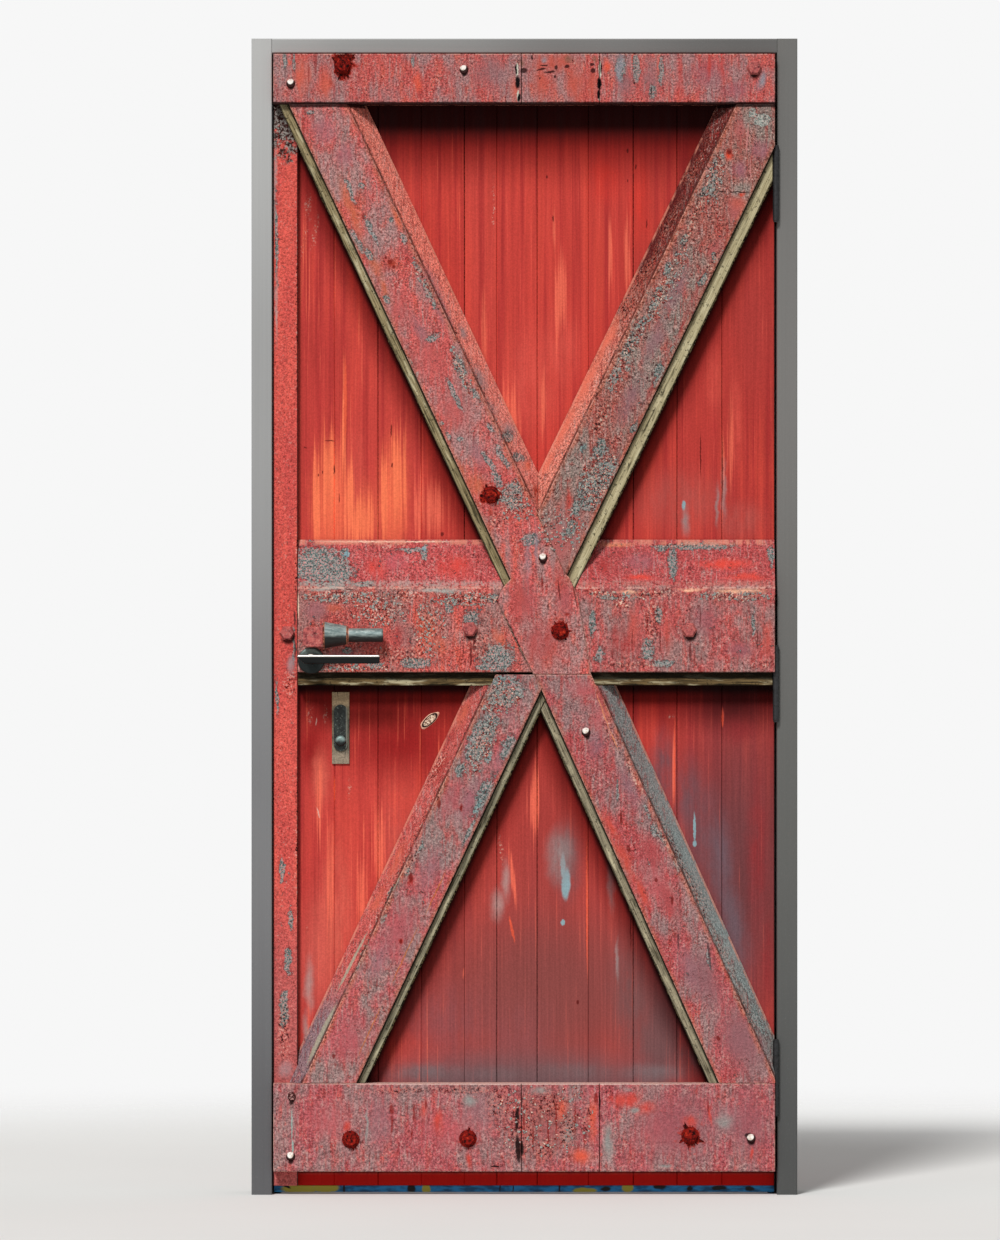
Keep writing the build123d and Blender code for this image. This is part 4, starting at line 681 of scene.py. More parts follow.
            ("drawn", "#b8682f", 0.7, [(436, 892, 0.8, 30, 25), (405, 955, 0.8, 40, 25), (370, 1030, 0.8, 36, 25)]),
        ],
    },
    "lower_right_facing": {
        "tones": ("#a74f51", "#ae4a47", "#8c6c6b"), "bevel": ("#7c8482", "#86938f"), "flecks": 0.9,
        "brace": "lower_right",
        "layers": [
            ("wash", "#b35a5c", 0.9, [(580, 690, 20, 16), (600, 720, 16, 24), (655, 880, 20, 40, -24)]),
            ("wash", "#8f636b", 0.8, [
                (596, 745, 12, 20), (630, 790, 10, 34, -24), (690, 970, 16, 40, -24), (740, 1040, 20, 26, -24)]),
            ("wash", "#c14a3c", 0.9, [(626, 862, 8, 50, -24), (642, 892, 7, 30, -24), (612, 830, 5, 30, -24)]),
            ("wash", "#a3494a", 0.9, [(650, 850, 14, 30, -24), (668, 900, 12, 30, -24), (603, 700, 8, 24, -20)]),
            ("zone", "#8a5a5e", 0.85, [(742, 1040, 34, 60, -24), (706, 980, 22, 50, -24)]),
            ("peel", primer, 0.9, [
                (661, 836, 4, 26, -27), (676, 862, 4, 18, -27), (617, 790, 3, 16), (708, 957, 3, 18, -6),
                (738, 998, 4, 24, -27), (752, 1024, 4, 24, -27), (648, 812, 3, 16, -27), (655, 830, 8, 12)]),
            ("peel", ("#5d6967", "#9aa5a2"), 1.0, [
                (690, 866, 9, 34, -25), (704, 900, 10, 30, -25), (718, 926, 9, 26, -25), (676, 836, 8, 18, -25),
                (745, 984, 8, 30, -25), (758, 1020, 7, 30, -25)]),
            ("crumbs", grit, 0.9, [
                (634, 776, 5, 34, -27), (664, 838, 5, 34, -27), (690, 888, 5, 34, -27), (745, 1010, 5, 40, -27),
                (702, 890, 12, 44, -25), (612, 735, 5, 34, -24)]),
            ("zone", "#8d9694", 0.6, [(706, 893, 11, 210, -25.2)]),
            ("crumbs", ("#a9b0aa", "#2a1a1a"), 1.0, [(687, 876, 3.2, 218, -25.3)]),
            ("drawn", "#d5855f", 0.7, [(603, 712, 0.9, 26, -20), (614, 740, 0.9, 12, -24)]),
            ("drawn", "#6d1c18", 0.85, [
                (621, 818, 1.6, 10), (628, 848, 2.4, 4), (718, 1038, 2.6, 3), (586, 790, 1.2, 4), (656, 880, 2, 3),
                (672, 900, 1.6, 6)]),
            ("drawn", "#3a2a2e", 0.7, [(678, 940, 1.2, 12), (709, 955, 1.6, 18, -6)]),
        ],
        "shadow": [(587, 736, 3.4, 4.4)],
    },
    "mid_left_facing": {
        "tones": ("#bc5851", "#c95645", "#9a6a65"), "bevel": ("#b04c4c", "#b04c4c"), "flecks": 1.1,
        "ridge": ("#a89a92", 0.45),
        "layers": [
            ("wash", "#a06468", 0.9, [(316, 610, 20, 18), (345, 655, 30, 10)]),
            ("wash", "#c8443c", 1.0, [(455, 567, 28, 18), (376, 568, 16, 16), (440, 600, 14, 10)]),
            ("wash", "#b5535a", 0.8, [(395, 562, 20, 14)]),
            ("wash", "#c9604a", 1.0, [
                (428, 630, 13, 28), (334, 608, 12, 6), (500, 640, 8, 20, -24), (440, 645, 14, 14)]),
            ("wash", "#a34444", 0.9, [(400, 640, 14, 26), (375, 640, 20, 16)]),
            ("peel", ("#4c5856", "#93a19c"), 1.0, [
                (318, 566, 44, 34), (338, 572, 24, 30), (424, 553, 6, 13), (365, 585, 16, 5), (345, 553, 8, 8)]),
            ("peel", primer, 1.0, [
                (448, 606, 8, 12), (471, 618, 14, 14), (498, 658, 26, 24), (417, 663, 26, 8), (484, 667, 12, 6),
                (375, 665, 16, 5), (456, 602, 10, 6), (490, 598, 16, 8), (412, 550, 24, 4), (346, 650, 10, 6)]),
            ("peel", ("#62828a", "#86a5aa"), 1.0, [(347, 555, 5, 5), (423, 549, 4, 4)]),
            ("wash", "#aab0a8", 0.8, [(330, 589, 36, 3), (440, 590, 40, 3)]),
            ("crumbs", ("#efd8c8", "#3b1413"), 1.0, [
                (345, 596, 50, 8), (465, 598, 40, 9), (380, 612, 28, 16), (405, 596, 24, 8), (350, 668, 50, 5)]),
            ("crumbs", grit, 0.8, [(430, 625, 20, 30), (385, 545, 36, 4), (480, 645, 20, 20), (400, 655, 60, 12)]),
            ("drawn", "#1a0a0b", 0.95, [(514.5, 637, 1.4, 40, -25.6)]),
            ("drawn", "#e8c9b0", 0.8, [(385, 541.6, 92, 0.9), (298.6, 606, 0.8, 16)]),
            ("drawn", "#5a1c1a", 0.8, [
                (471, 656, 1.4, 14), (474, 646, 1, 8), (463, 652, 0.8, 10), (350, 589.5, 7, 0.9)]),
        ],
        "shadow": [(471, 634, 9, 9)],
    },
    "mid_right_facing": {
        "tones": ("#ae5452", "#b84f48", "#956d6a"), "bevel": ("#a84848", "#a84848"), "flecks": 0.9,
        "ridge": ("#b98578", 0.3),
        "layers": [
            ("wash", "#9a5c62", 0.9, [(640, 562, 24, 14), (705, 620, 20, 24), (740, 650, 20, 14)]),
            ("wash", "#a33a38", 0.9, [(606, 566, 12, 14), (620, 640, 20, 24)]),
            ("wash", "#d3483c", 1.0, [(745, 577, 30, 6), (640, 578, 24, 4), (725, 564, 40, 8)]),
            ("wash", "#bd5148", 0.9, [(634, 625, 10, 30), (668, 635, 8, 28), (768, 640, 8, 30)]),
            ("wash", "#e08a66", 0.9, [(616, 544, 26, 4)]),
            ("peel", ("#4c5856", "#899793"), 1.0, [
                (700, 546, 54, 7), (672, 562, 8, 28), (771, 555, 6, 16), (660, 548, 14, 6)]),
            ("peel", primer, 1.0, [
                (592, 624, 6, 22), (658, 614, 6, 17), (648, 650, 10, 16), (663, 663, 17, 6), (753, 625, 2.4, 24),
                (610, 596, 16, 4), (600, 655, 8, 12)]),
            ("crumbs", ("#f2cdb4", "#4a1614"), 1.0, [
                (600, 593, 24, 5), (650, 594, 40, 6), (735, 595, 42, 7), (620, 604, 20, 8)]),
            ("wash", "#f0b494", 1.0, [(627, 591, 14, 3), (740, 591, 34, 3.4), (690, 590, 20, 2)]),
            ("crumbs", grit, 0.8, [(652, 620, 12, 30), (766, 664, 10, 6), (690, 545, 60, 4), (630, 665, 40, 5)]),
            ("drawn", "#5a1c1a", 0.7, [
                (690, 652, 1.6, 12), (700, 618, 0.8, 12), (660, 640, 0.8, 16), (632, 640, 0.8, 14),
                (757, 640, 0.8, 14)]),
        ],
        "shadow": [(690, 634, 9, 10)],
    },
}


def bandAt(f, depth, places):
    # one between two depths behind the face: it rises over the first two and falls over the last two
    rise, full, gone, fall = places
    return f.times(f.step(depth, faceY + rise, faceY + full), f.step(depth, faceY + gone, faceY + fall))


def memberPaint(node, look, number):
    f = Finish("rail_paint_%02d" % number, 0.76, shine=0.07, seed=number * 5.3)
    f.weather()
    depth, up = f.axis("Y"), f.axis("Z")
    clouds = f.grain((0.05, 0.05, 0.09), 4.0, seed=7.0)
    main, warm, cool = look["tones"]
    paint = f.blend(f.step(clouds, 0.42, 0.6), cool, main)
    paint = f.over(paint, warm, f.tides, 0.5, 0.68, 0.7)
    # the bevel has its own colour, one low on the piece and one high; on the upper left brace it is painted light
    low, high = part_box(node)
    tall = high.z - low.z
    bevel = f.step(depth, *[faceY + place for place in worn["bevelDepth"]])
    slope = f.blend(f.step(up, low.z + tall * 0.35, low.z + tall * 0.75), look["bevel"][1], look["bevel"][0])
    if node.startswith("lower_left"):
        slope = f.blend(f.step(up, low.z + 0.1, low.z + 0.2), *look["bevel"])
    paint = f.laid(paint, slope, bevel, 0.9)
    # drips and blotches, dark red and dull
    drips = f.grain((0.004, 0.02, 0.035), 4.0, seed=11.0, rough=0.6)
    paint = f.over(paint, worn["drips"], drips, 0.48, 0.34, 0.55)
    paint = f.over(paint, worn["bloom"], drips, 0.53, 0.68, 0.5)
    paint = f.over(paint, worn["vivid"], f.broken, 0.55, 0.7, 0.5)
    # fine sand all over: the ground is vivid, the dots are pale and the pits dark
    flecks = look["flecks"]
    paint = f.shaded(paint, f.step(f.sand, 0.3, 0.7, 1 - 0.42 * flecks, 1 + 0.46 * flecks))
    loose = f.step(f.grain(0.022, 4.0, seed=12.0, rough=0.6), 0.44, 0.62, 0.3, 1.0)
    paint = f.laid(paint, worn["dots"], f.step(f.crumb, 0.56, 0.66), loose, 0.55 * flecks)
    paint = f.laid(paint, worn["pits"], f.step(f.crumb, 0.43, 0.34), loose, 0.8 * flecks)
    for kind, colour, strength, marks in look["layers"]:
        paint = f.lay(paint, kind, colour, strength, near(marks, node))
    # the washes keep some of the sand
    paint = f.shaded(paint, f.step(f.sand, 0.3, 0.7, 0.86, 1.14))
    # grit and bare orange along the sides of a brace
    if "brace" in look:
        x, z, lean, half, lath, side, bottom, top = braces[look["brace"]]
        across = f.calc("ABSOLUTE", f.axis("X", f.within((half, 1, 1), (x, 0, z), lean)))
        ends = f.times(f.step(up, bottom - 0.05, bottom + 0.03), f.step(up, top + 0.05, top))
        edge = f.times(f.step(across, 0.8, 1.0), f.step(across, 1.12, 1.02), ends, f.step(f.tides, 0.34, 0.56))
        paint = f.laid(paint, worn["sides"], edge, 0.55)
        paint = f.laid(paint, worn["sideGrit"], edge, f.step(f.crumb, 0.5, 0.4), 0.8)
    # under the rust the paint has gone
    if "rust" in look:
        value = f.plus(f.broken, f.patches(grown(look["rust"], 1.45), 1.0, f.frayed), 0.6)
        crust = f.over(f.blend(f.step(f.crumb, 0.38, 0.58), *rust), worn["freshRust"], f.sand, 0.6, 0.72, 0.7)
        mask = f.patches(grown(look["rust"], 2.6), 0.5)
        paint = f.laid(paint, worn["halo"], f.step(value, 0.54, 0.68, 0.0, 0.8), mask)
        paint = f.laid(paint, crust, f.step(value, 0.68, 0.74), mask)
    if "shadow" in look:
        paint = f.laid(paint, worn["shadow"], f.patches(look["shadow"], 0.5, f.frayed), 0.9)
    # worn corner: a pale line, partly worn paint and partly a painted highlight on the edge, then a dark crumbly one
    # beside it
    corner = f.times(bandAt(f, depth, worn["cornerDepth"]), f.step(f.tides, 0.42, 0.54),
                     f.step(f.crumb, 0.4, 0.52))
    paint = f.laid(paint, worn["corner"], corner, 0.7)
    ridge, strength = look.get("ridge", worn["ridge"])
    crumbly = f.step(f.plus(f.times(f.crumb, 0.6), f.tides, 0.4), 0.42, 0.52)
    paint = f.laid(paint, ridge, bandAt(f, depth, worn["ridgeDepth"]), crumbly, strength)
    # painted shadow: a black line where the top rail meets the braces
    if node == "top_rail" or node.startswith("upper"):
        heights = worn["lineOnRail" if node == "top_rail" else "lineOnBrace"]
        line = f.step(f.plus(up, f.broken, 0.004), *[topRailUnder + height for height in heights])
        paint = f.laid(paint, worn["line"], line, 0.92)
    # the foot of the bevel, where it meets the boards: a painted highlight along its edge
    foot = f.step(depth, *[plankY - place for place in worn["footDepth"]])
    paint = f.laid(paint, worn["foot"], foot, f.step(f.tides, 0.4, 0.55), 0.6)
    paint = f.over(paint, worn["joint"], depth, *[plankY - place for place in worn["jointDepth"]], 0.85)
    f.colour(paint)
    f.roughness(f.step(clouds, 0.3, 0.7, 0.68, 0.84))
    f.bump(f.plus(f.plus(f.times(f.sand, 0.4), f.crumb, 0.7), f.broken, 0.8), 0.0028, 0.8)
    f.wear(node)


# Left stile: brighter red than the rails, its top worn to speckled grey
stileLook = {
    "tones": ("#c44e48", "#d4594e", "#a85a58"),
    "dots": "#eaa598",
    "pits": "#6a1d1c",
    "top": ("#171412", "#918f88"),
    "layers": [
        ("wash", "#a9a5a0", 0.8, [(275, 190, 3, 70), (276, 300, 2.4, 60)]),
        ("peel", primer, 1.0, [
            (276, 240, 3, 60), (293, 646, 2, 40), (288, 960, 7, 22), (284, 1010, 7, 34), (290, 920, 5, 18),
            (277, 700, 2, 30), (281, 870, 4, 20)]),
        ("crumbs", ("#e0a296", "#240c0c"), 1.0, [
            (290, 684, 9, 24), (297, 560, 3, 60), (297, 300, 2.5, 150), (297, 850, 2.5, 130), (284, 1030, 9, 40)]),
        ("wash", "#a0888a", 0.9, [(291, 664, 6, 14), (285, 1070, 10, 14)]),
        ("drawn", "#3a2c2a", 0.8, [(294.5, 618, 1.2, 10), (295, 650, 1.2, 10)]),
    ],
    "shadow": [(288, 638, 9, 9)],
    "shadowTone": "#2a0b0b",
    # colour and sides of the painted shade along the stile's right edge
    "joint": "#200606",
    "footHeights": (0.62, 0.25),
    "topHeights": (1.96, 2.01),
    "shadedSides": (-0.4008, -0.3988),
}


def stilePaint():
    f = Finish("stile_paint", 0.74, shine=0.07, seed=2.0)
    f.weather()
    up = f.axis("Z")
    main, bright, foot = stileLook["tones"]
    clouds = f.grain((0.02, 0.05, 0.16), 4.0, seed=7.0)
    paint = f.over(main, bright, clouds, 0.35, 0.65)
    paint = f.over(paint, foot, up, *stileLook["footHeights"], 0.85)
    paint = f.shaded(paint, f.step(f.sand, 0.32, 0.68, 0.66, 1.34))
    paint = f.over(paint, stileLook["dots"], f.crumb, 0.6, 0.74, 0.5)
    paint = f.over(paint, stileLook["pits"], f.crumb, 0.4, 0.3, 0.75)
    bare = f.step(f.plus(up, f.broken, 0.3), *stileLook["topHeights"])
    paint = f.laid(paint, f.blend(f.step(f.crumb, 0.46, 0.6), *stileLook["top"]), bare, 0.95)
    for kind, colour, strength, marks in stileLook["layers"]:
        paint = f.lay(paint, kind, colour, strength, marks)
    paint = f.laid(paint, stileLook["shadowTone"], f.patches(stileLook["shadow"], 0.5, f.frayed), 0.85)
    # painted shade: dark along the stile's right edge
    f.colour(f.over(paint, stileLook["joint"], f.axis("X"), *stileLook["shadedSides"], 0.9))
    f.bump(f.plus(f.times(f.sand, 0.5), f.crumb, 0.6), 0.0022, 0.8)
    f.wear("left_stile")


# Bare timber of the cores, seen as laths beside the facings: pale and dark tone, brace
lathLook = {
    "upper_left_core": ("#a3946f", "#5a5036", "upper_left"),
    "upper_right_core": ("#c2b692", "#8a7f5c", "upper_right"),
    "lower_left_core": ("#9c957c", "#5c5948", "lower_left"),
    "lower_right_core": ("#a0967c", "#5a5343", "lower_right"),
    "mid_rail_core": ("#715d3d", "#302618", None),
}
# pale knots, dark knots, specks, and the black of the painted shade and the dark edges
lathTones = ("#d3caa6", "#2e2a1b", "#191710", "#0f0d09")
# heights between which the lath under the middle rail goes dark: painted shade at its top, under the facing, and a
# dark lower edge
midLathDark = ((0.91, 0.914), (0.9035, 0.901))


def lathWood(node, pale, dark, brace):
    f = Finish("bare_wood_" + node, 0.85, shine=0.07)
    lean = braces[brace][2] if brace else 90.0
    fibres = f.grain((0.0016, 0.004, 0.06), 3.0, lean, seed=1.0)
    knots = f.grain((0.008, 0.02, 0.05), 4.0, lean, seed=5.0)
    specks = f.grain(0.004, 3.0, seed=2.0, rough=0.7)
    paleKnot, darkKnot, speck, black = lathTones
    wood = f.over(dark, pale, fibres, 0.3, 0.66)
    wood = f.over(wood, paleKnot, knots, 0.52, 0.7, 0.6)
    wood = f.over(wood, darkKnot, knots, 0.44, 0.3, 0.8)
    wood = f.over(wood, speck, specks, 0.42, 0.34, 0.85)
    # painted shade, black where the wood goes behind the facing, and a dark outer edge
    if brace:
        x, z, lean, half, lath, side, bottom, top = braces[brace]
        across = f.calc("ABSOLUTE", f.axis("X", f.within((1, 1, 1), (x, 0, z), lean)))
        inner = f.step(f.plus(across, knots, -0.004), half + 0.0022, half - 0.0002)
        shadeAndEdge = f.largest(inner, f.step(f.plus(across, knots, 0.006), half + lath + 0.0005, half + lath + 0.003))
    else:
        rough = f.plus(f.axis("Z"), knots, 0.012)
        shadeAndEdge = f.largest(*[f.step(rough, *heights) for heights in midLathDark])
    f.colour(f.laid(wood, black, shadeAndEdge, 0.9))
    f.bump(f.plus(fibres, specks, 0.6), 0.001, 0.8)
    f.wear(node)


# Thin strip under the planks: blue, with ochre patches and dark gaps
stripLook = {
    "blue": "#2b80b8",
    "dark": "#174a70",
    "ochre": "#9a973c",
    "gap": "#12100f",
    "patches": [(300, 1190, 22, 6), (325, 1189, 16, 6), (426, 1190, 5, 6), (585, 1192, 14, 4), (628, 1189, 7, 6)],
    "gaps": [
        (411, 1190, 5, 6), (344, 1190, 1.4, 6), (284, 1187, 8, 2, 20), (500, 1190, 0.8, 6), (513, 1190, 0.8, 6),
        (606, 1190, 6, 3), (660, 1188, 8, 3), (720, 1189, 10, 3), (750, 1190, 6, 3), (560, 1190, 1.2, 6),
        (690, 1190, 4, 3)],
}


def stripPaint():
    f = Finish("strip_paint", 0.6)
    clouds = f.grain((0.02, 0.02, 0.006), 3.0, seed=3.0)
    torn = f.ragged(0.02, 0.008)
    paint = f.over(stripLook["dark"], stripLook["blue"], clouds, 0.35, 0.65)
    paint = f.laid(paint, stripLook["ochre"], f.patches(stripLook["patches"], 0.3, torn))
    f.colour(f.laid(paint, stripLook["gap"], f.patches(stripLook["gaps"], 0.4, torn)))
    f.bump(clouds, 0.0005, 0.5)
    f.wear("bottom_strip")


# Iron and steel: each piece's colours, from its ground to its specks, stains and edges, and the painted light and
# shade of some
metalTones = {
    "rusty": ("#1c0404", "#861710", "#c0361f"),
    "painted": ("#8f4446", "#bd625c", "#401617", "#d49a8c"),
    "dome": ("#c9b8a8", "#f8f2ea", "#2a0e0c", "#3a0f10", "#b98a84"),
    "hinge": ("#0b0b0c", "#232325"),
    "steel": ("#6f6e6b", "#a9a8a3"),
    "latch": ("#5b6b6a", "#8e9b97", "#c9ccc4", "#0d0907", "#b06a4c"),
    "lever": ("#0b0c0c", "#1f201f", "#cfcac0", "#fbf6ee"),
    "cases": ("#0d1211", "#36433f", "#8f9a92"),
    "rose": ("#141b1a", "#65726d"),
    "plate": ("#554e42", "#80765f", "#8d7e6b", "#a08868", "#2c2620", "#1a1c1a"),
    "cover": ("#0b0d0b", "#262c29", "#6d756c", "#8d8a7c"),
    "knob": ("#0c100f", "#7b8f8a"),
}


def rustyIron():
    f = Finish("rusty_iron", 0.9, shine=0.1)
    crust = f.grain(0.006, 5.0, rough=0.7)
    dark, deep, bright = metalTones["rusty"]
    f.colour(f.over(f.over(dark, deep, crust, 0.38, 0.55), bright, crust, 0.55, 0.68))
    f.bump(crust, 0.004, 1.0)
    f.wear("rusty_bolts")


def paintedIron():
    f = Finish("painted_iron", 0.76, shine=0.15)
    crust = f.grain(0.007, 5.0, rough=0.7)
    dull, bright, pit, dot = metalTones["painted"]
    paint = f.over(dull, bright, crust, 0.38, 0.62)
    paint = f.over(paint, pit, crust, 0.44, 0.34)
    f.colour(f.over(paint, dot, f.grain(0.0032, 2.0, rough=0.8), 0.56, 0.68, 0.6))
    f.bump(crust, 0.002, 0.9)
    f.wear("painted_bolts", "latch_head")


# Dome screws: a painted highlight on each head with painted shade round it, and the one under the bottom rail's
# corner dark with old paint
screwLook = {
    "litHeads": [
        (463, 67.5, 3.6, 4), (290.5, 81, 3.6, 4.4), (542.5, 555.5, 3.6, 4.4), (585.5, 729.5, 3.6, 4.4, 20),
        (750, 1136, 4, 4, 30), (290.5, 1153.5, 3.6, 4.6), (292, 1096, 9, 9)],
    "dark": [(292, 1096, 5, 6)],
}


def screwHighlightAndShade():
    f = Finish("pale_screw", 0.5, 0.2)
    crust = f.grain(0.004, 3.0)
    dull, bright, around, dark, scraped = metalTones["dome"]
    # painted highlight inside the ovals, painted shade round them
    paint = f.blend(f.patches(screwLook["litHeads"], 0.25), around, f.over(dull, bright, crust, 0.34, 0.6))
    paint = f.laid(paint, f.over(dark, scraped, crust, 0.5, 0.62), f.patches(screwLook["dark"], 0.2))
    f.colour(paint)
    f.roughness(f.step(crust, 0.3, 0.6, 0.7, 0.4))
    f.bump(crust, 0.0006, 0.5)
    f.wear("dome_screws")


def plainMetal(name, tones, roughness, metal, parts):
    f = Finish(name, roughness, metal, 0.5)
    marks = f.grain(0.004, 3.0, seed=2.0)
    f.colour(f.over(*tones, marks, 0.3, 0.7))
    f.roughness(f.step(marks, 0.3, 0.7, roughness + 0.12, roughness - 0.06))
    f.bump(f.grain(0.0012, 2.0), 0.0001, 0.4)
    f.wear(*parts)


# Latch: grey green metal, painted shade underneath, with rust at both ends of the collar
def latchGrey():
    f = Finish("latch_grey", 0.5, 0.3, 0.4)
    marks = f.grain((0.02, 0.006, 0.005), 4.0, rough=0.65)
    specks = f.grain(0.0035, 2.0, rough=0.8)
    centre = sum(end.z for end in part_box("latch_bar")) / 2
    dull, pale, speck, underShade, rim = metalTones["latch"]
    paint = f.over(dull, pale, marks, 0.35, 0.65)
    paint = f.over(paint, speck, specks, 0.6, 0.72, 0.5)
    # painted shade: near black below the middle of the bar and collar
    paint = f.over(paint, underShade, f.plus(f.axis("Z"), marks, 0.006), centre + 0.0055, centre - 0.002, 0.97)
    low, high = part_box("latch_collar")
    across = f.axis("X")
    end = f.times(f.step(across, high.x - 0.0015, high.x), f.step(across, high.x + 0.003, high.x + 0.0015))
    ends = f.largest(f.step(across, low.x + 0.003, low.x + 0.0015), end)
    f.colour(f.laid(paint, rim, ends, f.step(specks, 0.35, 0.5, 0.4, 0.95)))
    f.bump(f.plus(marks, specks, 0.6), 0.0008, 0.6)
    f.wear("latch_collar", "latch_bar")


# Lever: painted highlight along the top edge, near black below
def leverMetal():
    f = Finish("lever_metal", 0.3, 0.8, 0.5)
    scratches = f.grain((0.05, 0.002, 0.001), 3.0)
    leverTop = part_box("lever_handle")[1].z
    dark, bright = [f.over(*pair, scratches, 0.3, 0.7) for pair in (metalTones["lever"][:2], metalTones["lever"][2:])]
    # painted highlight: the top few millimetres bright
    f.colour(f.over(dark, bright, f.axis("Z"), leverTop - 0.0052, leverTop - 0.0036))
    f.roughness(f.step(scratches, 0.3, 0.7, 0.42, 0.26))
    f.bump(scratches, 0.0001, 0.4)
    f.wear("lever_handle", "inside_lever")


# Lock cases: near black with grey green specks
def darkMetal():
    f = Finish("dark_metal", 0.5, 0.5, 0.4)
    marks = f.grain(0.006, 4.0, seed=9.0)
    dark, pale, speck = metalTones["cases"]
    paint = f.over(dark, pale, marks, 0.35, 0.7)
    f.colour(f.over(paint, speck, f.grain(0.0026, 2.0, rough=0.8), 0.58, 0.7, 0.6))
    f.bump(marks, 0.0008, 0.7)
    f.wear("rim_lock_case", "dead_lock_case")


# Rose: painted light, the upper half bright as if lit and the lower half black as if in shade
def roseMetal():
    f = Finish("rose_metal", 0.42, 0.5, 0.4)
    low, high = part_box("lever_rose")
    marks = f.grain((0.03, 0.01, 0.004), 3.0, seed=9.0)
    up = f.plus(f.axis("Z"), marks, 0.008)
    # painted light: bright above, black below
    f.colour(f.over(*metalTones["rose"], up, low.z + 0.027, high.z + 0.002))
    f.roughness(f.step(marks, 0.3, 0.7, 0.5, 0.34))
    f.bump(marks, 0.0003, 0.5)
    f.wear("lever_rose")


# Key plate: beige and grey; its cover: dark and pitted, with a round green grey knob painted lit on top and shaded
# below
def keyPlate():
    f = Finish("plate_pale", 0.6, 0.1, 0.3)
    low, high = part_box("key_plate")
    up = f.axis("Z")
    marks = f.grain((0.006, 0.01, 0.02), 4.0, seed=4.0)
    specks = f.grain(0.0032, 2.0, rough=0.8)
    dull, pale, lowTone, topTone, stain, pinTone = metalTones["plate"]
    paint = f.over(dull, pale, marks, 0.35, 0.65)
    paint = f.over(paint, lowTone, up, low.z + 0.03, low.z + 0.012)
    paint = f.over(paint, topTone, up, high.z - 0.034, high.z - 0.016)
    paint = f.shaded(paint, f.step(specks, 0.3, 0.7, 0.7, 1.3))
    paint = f.over(paint, stain, marks, 0.4, 0.3, 0.8)
    pin = f.step(f.axis("Y"), low.y + 0.0045, low.y + 0.002)
    f.colour(f.blend(pin, paint, pinTone))
    f.bump(f.plus(marks, specks, 0.5), 0.0006, 0.6)
    f.wear("key_plate")


def keyCover():
    f = Finish("cover_metal", 0.5, 0.3, 0.4)
    low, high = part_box("key_cover")
    marks = f.grain(0.008, 4.0, seed=9.0)
    specks = f.grain(0.0036, 2.0, rough=0.8)
    dark, pale, speck, edge = metalTones["cover"]
    cover = f.over(dark, pale, marks, 0.35, 0.65)
    cover = f.over(cover, speck, specks, 0.56, 0.7, 0.6)
    cover = f.over(cover, edge, f.axis("X"), high.x - 0.004, high.x - 0.001, 0.6)
    knob = f.patches([(340.4, 741.2, 5.6, 5.6)], 0.08)
    # painted light on the knob: pale above, dark below
    green = f.over(*metalTones["knob"], f.plus(f.axis("Z"), marks, 0.006), low.z + 0.017, low.z + 0.026)
    f.colour(f.blend(knob, cover, green))
    f.bump(f.plus(marks, specks, 0.5), 0.0008, 0.7)
    f.wear("key_cover")


def finishes():
    for number, node in enumerate(("lock_jamb", "hinge_jamb", "frame_head")):
        frameSteel(node, number + 1)
    gasketRubber()
    for number, base in enumerate(plankLook["tones"]):
        plankPaint("plank_%02d" % (number + 1), number + 1, base)
    for number, (node, look) in enumerate(members.items()):
        memberPaint(node, look, number + 1)
    stilePaint()
    for node, (pale, dark, brace) in lathLook.items():
        lathWood(node, pale, dark, brace)
    stripPaint()
    rustyIron()
    paintedIron()
    screwHighlightAndShade()
    hinges = ["hinge_%s_leaf_%d" % (side, n) for side in ("frame", "leaf") for n in (1, 2, 3)]
    plainMetal("hinge_steel", metalTones["hinge"], 0.5, 0.3, hinges + ["hinge_pins"])
    plainMetal("lock_steel", metalTones["steel"], 0.35, 0.9,
               ["frame_hinge_screws", "leaf_hinge_screws", "lever_spindle", "latch_spindle", "lock_bolt",
                "dead_bolt", "lock_follower", "latch_cam"])
    latchGrey()
    leverMetal()
    roseMetal()
    darkMetal()
    keyPlate()
    keyCover()


finishes()
print("paint, timber and metal are on")

